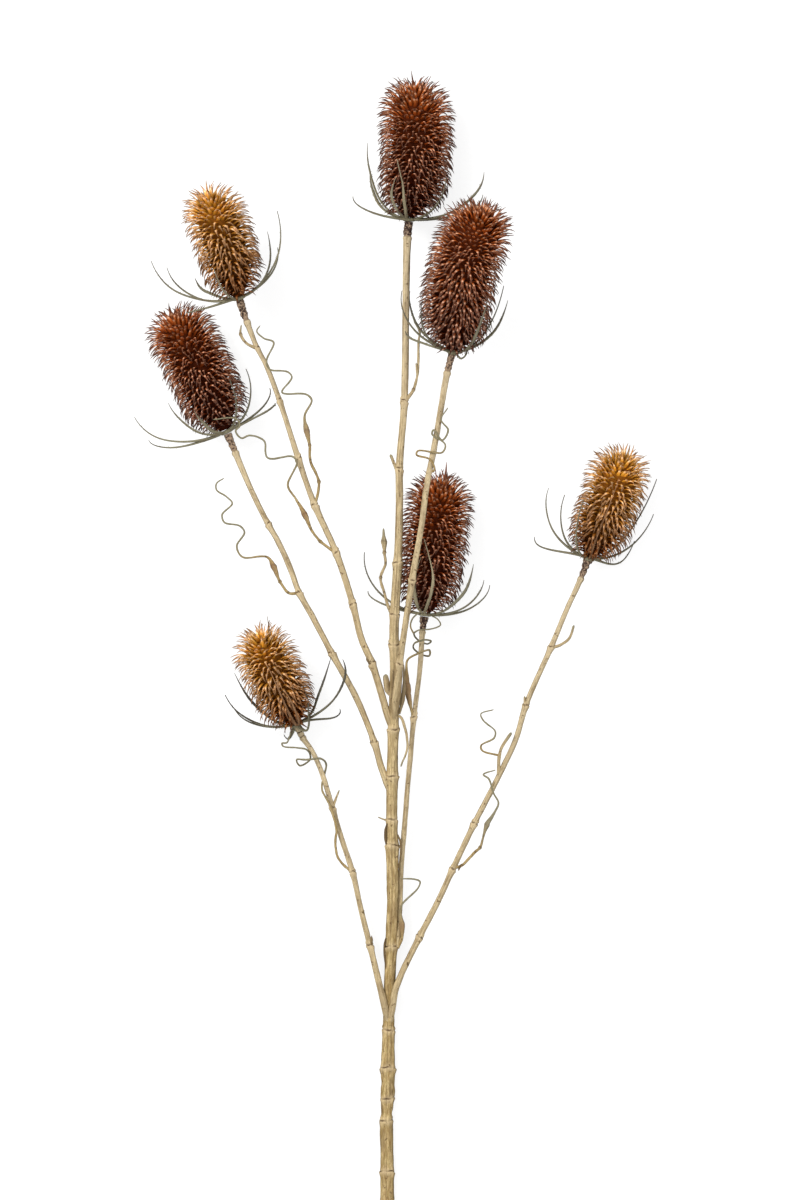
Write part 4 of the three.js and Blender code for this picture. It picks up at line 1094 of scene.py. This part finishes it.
def core_material(name, tone):
    """The core that the spines stand on, rust between the scales; its darkness is partly its own
    colour and partly painted shade between the spines.
    """
    material, shader, make = shader_of(name, 0.8, 0.05)
    grain = make.noise(make.place(), 900.0, 3.0)
    height = make.span(make.attribute("head_share"), 0.2, 0.95, 0.8)
    share = make.math("ADD", height, make.span(grain, 0.3, 0.7, 0.2))
    # dark ramp: partly the core's own colour, partly painted shade between the spines
    make.put(shader.inputs["Base Color"], make.ramp(share, tuple(enumerate(CORE_COLOURS_AND_SHADE[tone]))))
    make.bump(shader, grain, 0.5, 0.0004)
    return material


def bract_material(name, colours):
    """Grey-green straps with a bleached rib, darker towards the point, charcoal on some heads."""
    material, shader, make = shader_of(name, 0.6, 0.15)
    share, warm = make.attribute("bract_share"), make.attribute("warm")
    rib = make.attribute("rib")
    streaks = make.group("Dry fibre", fibre_group, {
        "Distance": make.times(share, 45.0), "Around": rib, "Chance": make.attribute("chance"),
        "Fineness": 8.0})
    blotch = make.group("Age mottle", mottle_group, {"Size": 110.0}).outputs["Blotch"]
    streak = streaks.outputs["Streak"]
    dark = make.times(make.attribute("dark"), make.math("ADD", make.times(blotch, 1.4), 0.2),
                      clamp=True)
    sharp = make.span(streak, 0.35, 0.65)
    tan, brown = (make.mix(sharp, *BRACT_TINTS[key]) for key in ("tan", "brown"))
    base = make.painted(
        make.mix(streak, colours.olive, colours.olive_light),
        (make.times(make.math("POWER", rib, 3.0), 0.35), colours.olive_light),
        (make.span(blotch, 0.5, 0.7, 0.4), BRACT_TINTS["blotch"]),
        (make.times(dark, make.span(share, 0.0, 0.7), clamp=True), BRACT_TINTS["charcoal"]),
        (make.span(share, 0.55, 1.0, 0.6), BRACT_TINTS["tip"]),
        (make.times(warm, 1.7, clamp=True), tan),
        (make.span(warm, 0.5, 1.0, 0.9), brown))
    make.put(shader.inputs["Base Color"], base)
    make.bump(shader, streaks.outputs["Height"], 0.3, 0.0002)
    return material


def shared_material(name, build, *values):
    """A material by name, built on its first use."""
    return bpy.data.materials.get(name) or build(name, *values)


def add_stems(name, shells, context):
    """A piece of the stems, in their shared material."""
    straw = shared_material("dry_straw", stem_material, context.scene.teasel_colours)
    add_piece(name, gathered(shells), straw, "straw_stem", "stem")
    return {"FINISHED"}


def stem_obstacles():
    """Centres and radii along every stem, twig, tendril and bract, for the spines to keep clear
    of."""
    sample_step, bract_samples, bract_radius = 1.2 * MM, 40, 0.6 * MM
    centres, radii = [], []
    for route in (MAIN_STEM, *BRANCHES, *TWIGS, *TENDRILS):
        points, thickness, _ = route_values(route)
        samples, (thick,), _, _ = smooth_path(points, [thickness], sample_step)
        centres.append(samples)
        radii.append(thick / 2)
    for tips, frames in zip(BRACT_TIPS, HEAD_FRAMES):
        for tip in tips:
            centres.append(bract_path(tip, frames, bract_samples))
            radii.append(np.full(bract_samples, bract_radius))
    return np.vstack(centres), np.concatenate(radii)


class TEASEL_OT_main_stem(bpy.types.Operator):
    """Add the main stem with its swollen joints and the neck of the top head"""
    bl_idname = "teasel.main_stem"
    bl_label = "Main stem"

    def execute(self, context):
        return add_stems("main_stem", [stem_shell(
            MAIN_STEM, HEADS[0], HEAD_FRAMES[0], context.scene.teasel_sizes, SEEDS["main_stem"],
            sides=36, ribs=9, pale=(-0.35, 1), rough_row=3)], context)


class TEASEL_OT_side_branches(bpy.types.Operator):
    """Add the six side branches with their joints and necks"""
    bl_idname = "teasel.side_branches"
    bl_label = "Side branches"

    def execute(self, context):
        return add_stems("side_branches", [stem_shell(
            route, head, frames, context.scene.teasel_sizes, SEEDS["branches"] + index,
            sides=20, ribs=6, pale=(0.5, 1))
            for index, (route, head, frames) in enumerate(zip(BRANCHES, HEADS[1:], HEAD_FRAMES[1:]))],
            context)


class TEASEL_OT_twigs(bpy.types.Operator):
    """Add the short twigs, spurs and buds, and the flakes of bark"""
    bl_idname = "teasel.twigs"
    bl_label = "Twigs and buds"

    def execute(self, context):
        shells = [twig_shell(route, SEEDS["twigs"] + index, sides=12, step=0.4 * MM, fade=0.75,
                             brown=0.2) for index, route in enumerate(TWIGS)]
        shells += [twig_shell(route, SEEDS["flakes"] + index, sides=10, step=0.3 * MM, fade=2,
                              brown=0, dark=dark) for index, (dark, route) in enumerate(FLAKES)]
        return add_stems("twigs", shells, context)


class TEASEL_OT_tendrils(bpy.types.Operator):
    """Add the curly tendrils with their pods"""
    bl_idname = "teasel.tendrils"
    bl_label = "Tendrils and pods"

    def execute(self, context):
        return add_stems("tendrils", [twig_shell(
            route, SEEDS["tendrils"] + index, sides=10, step=0.5 * MM, fade=0.25, brown=1)
            for index, route in enumerate(TENDRILS)], context)


class TEASEL_OT_heads(bpy.types.Operator):
    """Add the seven heads: a dark core and its arching spines"""
    bl_idname = "teasel.heads"
    bl_label = "Seed heads"

    def execute(self, context):
        sizes = context.scene.teasel_sizes
        centres, radii = stem_obstacles()
        for number, (head, frames) in enumerate(zip(HEADS, HEAD_FRAMES), start=1):
            tone, length = head["tone"], head["length"] * MM
            middle = frames[0] + frames[1] * length / 2
            near = np.linalg.norm(centres - middle, axis=1) < 0.75 * length
            spines = spines_shell(head, frames, sizes, SEEDS["spines"] + number,
                                  (centres[near], radii[near]))
            for name, kind, shell, build in (
                    ("core", "core", core_shell(head, frames, sizes), core_material),
                    ("spines", "spine", gathered([spines, *hair_shells(number)]), spine_material)):
                add_piece(f"{name}_{number}", shell,
                          shared_material(f"{tone}_{kind}", build, tone),
                          f"{tone}_spines", f"head_{number}")
        return {"FINISHED"}


class TEASEL_OT_bracts(bpy.types.Operator):
    """Add the whorl of prickly bracts under each head"""
    bl_idname = "teasel.bracts"
    bl_label = "Bracts"

    def execute(self, context):
        samples, curl_step, shade_seeds, shell_seeds, warm_slimming = 60, 0.5 * MM, 100, 20, 0.4
        sizes = context.scene.teasel_sizes
        material = shared_material("grey_bract", bract_material, context.scene.teasel_colours)
        for number, (head, tips, frames) in enumerate(zip(HEADS, BRACT_TIPS, HEAD_FRAMES), start=1):
            shells = [disc_shell(frames)]
            paths = [bract_path(tip, frames, samples) for tip in tips]
            paths += [smooth_path(place(route), [], curl_step)[0]
                      for which, route in CURLED_BRACTS if which == number]
            for index, points in enumerate(paths):
                shade = bract_shade(head, points, frames, shade_seeds * number + index)
                shells += bract_shells(points, frames, sizes, shade,
                                       head["bract_wide"] * (1 - warm_slimming * shade[1]),
                                       SEEDS["bracts"] + shell_seeds * number + index)
            add_piece(f"whorl_{number}", gathered(shells), material, "grey_bracts",
                      f"bracts_{number}")
        return {"FINISHED"}


# Stage

VIEW_MIDDLE = (399, 600)
VIEW_HEIGHT = 1200 * GRID
FOCUS_HEIGHT = 25 * MM
CAMERA_HEIGHT = 6.0
FILM_HEIGHT = 36.0
FLOOR_SIZE = 20.0
FLOOR_GLOW = 0.78
LIGHT_TARGET = (0, 0, 0.02)

# Soft square lights: name, place, size, power and colour.
LIGHTS = (("key", (-1.5, 1.3, 2.2), 1.2, 66, (1, 0.98, 0.94)),
          ("fill", (1.8, -0.6, 2.0), 2.0, 12, (0.96, 0.98, 1)))


def linked(name, data):
    """An object of some data, in the scene."""
    made = bpy.data.objects.new(name, data)
    bpy.context.scene.collection.objects.link(made)
    return made


def area_light(name, position, size, power, warmth):
    """A square soft light that faces the middle of the spray."""
    light = bpy.data.lights.new(name, "AREA")
    light.size, light.energy, light.color = size, power, warmth
    lamp = linked(name, light)
    lamp.location = position
    away = unit(np.array(position) - LIGHT_TARGET)
    lamp.rotation_euler = (np.arccos(away[2]), 0, np.arctan2(away[1], away[0]) + np.pi / 2)


class TEASEL_OT_stage(bpy.types.Operator):
    """Add the camera over the spray, the pale floor and the soft light"""
    bl_idname = "teasel.stage"
    bl_label = "Stage"

    def execute(self, context):
        camera = bpy.data.cameras.new("camera")
        camera.sensor_width = FILM_HEIGHT
        camera.lens = FILM_HEIGHT * (CAMERA_HEIGHT - FOCUS_HEIGHT) / VIEW_HEIGHT
        camera.clip_end = 100
        eye = linked("camera", camera)
        x, y, _ = place([(*VIEW_MIDDLE, 0)])[0]
        eye.location = (x, y, CAMERA_HEIGHT)
        context.scene.camera = eye
        mesh = bpy.data.meshes.new("floor")
        corners = [(right * FLOOR_SIZE, up * FLOOR_SIZE, 0)
                   for right, up in ((-1, -1), (1, -1), (1, 1), (-1, 1))]
        mesh.from_pydata(corners, [], [(0, 1, 2, 3)])
        floor = linked("floor", mesh)
        material, shader, make = shader_of("pale_floor", 0.9)
        make.put(shader.inputs["Base Color"], (0.3, 0.3, 0.3))
        make.put(shader.inputs["Emission Color"], (1, 1, 1))
        seen = make.new("ShaderNodeLightPath").outputs["Is Camera Ray"]
        make.put(shader.inputs["Emission Strength"], make.span(seen, 0.0, 1.0, FLOOR_GLOW))
        mesh.materials.append(material)
        world = bpy.data.worlds.new("studio")
        world.use_nodes = True
        sky = NodeMaker(world.node_tree)
        towards = sky.new("ShaderNodeNewGeometry").outputs["Incoming"]
        height = sky.math("ABSOLUTE", sky.new("ShaderNodeSeparateXYZ", {0: towards}).outputs["Z"])
        glow = sky.span(height, 0.0, 0.9, 0.96, 0.28)
        seen = sky.new("ShaderNodeLightPath").outputs["Is Camera Ray"]
        background = world.node_tree.nodes["Background"]
        sky.put(background.inputs["Color"], (1, 1, 1))
        sky.put(background.inputs["Strength"], sky.math("MAXIMUM", glow, seen))
        context.scene.world = world
        for light in LIGHTS:
            area_light(*light)
        context.scene.view_settings.view_transform = "Standard"
        return {"FINISHED"}


class TEASEL_PT_panel(bpy.types.Panel):
    """Lists the pieces of the spray"""
    bl_idname = "TEASEL_PT_panel"
    bl_label = "Teasel spray"
    bl_space_type = "VIEW_3D"
    bl_region_type = "UI"
    bl_category = "Teasel"

    def draw(self, context):
        for operator in PIECES:
            self.layout.operator(operator.bl_idname)
        for group in (context.scene.teasel_sizes, context.scene.teasel_colours):
            for name in group.__annotations__:
                self.layout.prop(group, name)


PIECES = (TEASEL_OT_stage, TEASEL_OT_main_stem, TEASEL_OT_side_branches, TEASEL_OT_twigs,
          TEASEL_OT_tendrils, TEASEL_OT_heads, TEASEL_OT_bracts)
CLASSES = (TeaselSizes, TeaselColours, *PIECES, TEASEL_PT_panel)


def register():
    """Registers the classes and the scene's settings."""
    for item in CLASSES:
        bpy.utils.register_class(item)
    bpy.types.Scene.teasel_sizes = bpy.props.PointerProperty(type=TeaselSizes)
    bpy.types.Scene.teasel_colours = bpy.props.PointerProperty(type=TeaselColours)


def unregister():
    """Takes the classes and the settings away again."""
    del bpy.types.Scene.teasel_colours
    del bpy.types.Scene.teasel_sizes
    for item in reversed(CLASSES):
        bpy.utils.unregister_class(item)


def main():
    """Builds every piece in order."""
    register()
    for operator in PIECES:
        family, name = operator.bl_idname.split(".")
        getattr(getattr(bpy.ops, family), name)()


if __name__ == "__main__":
    main()
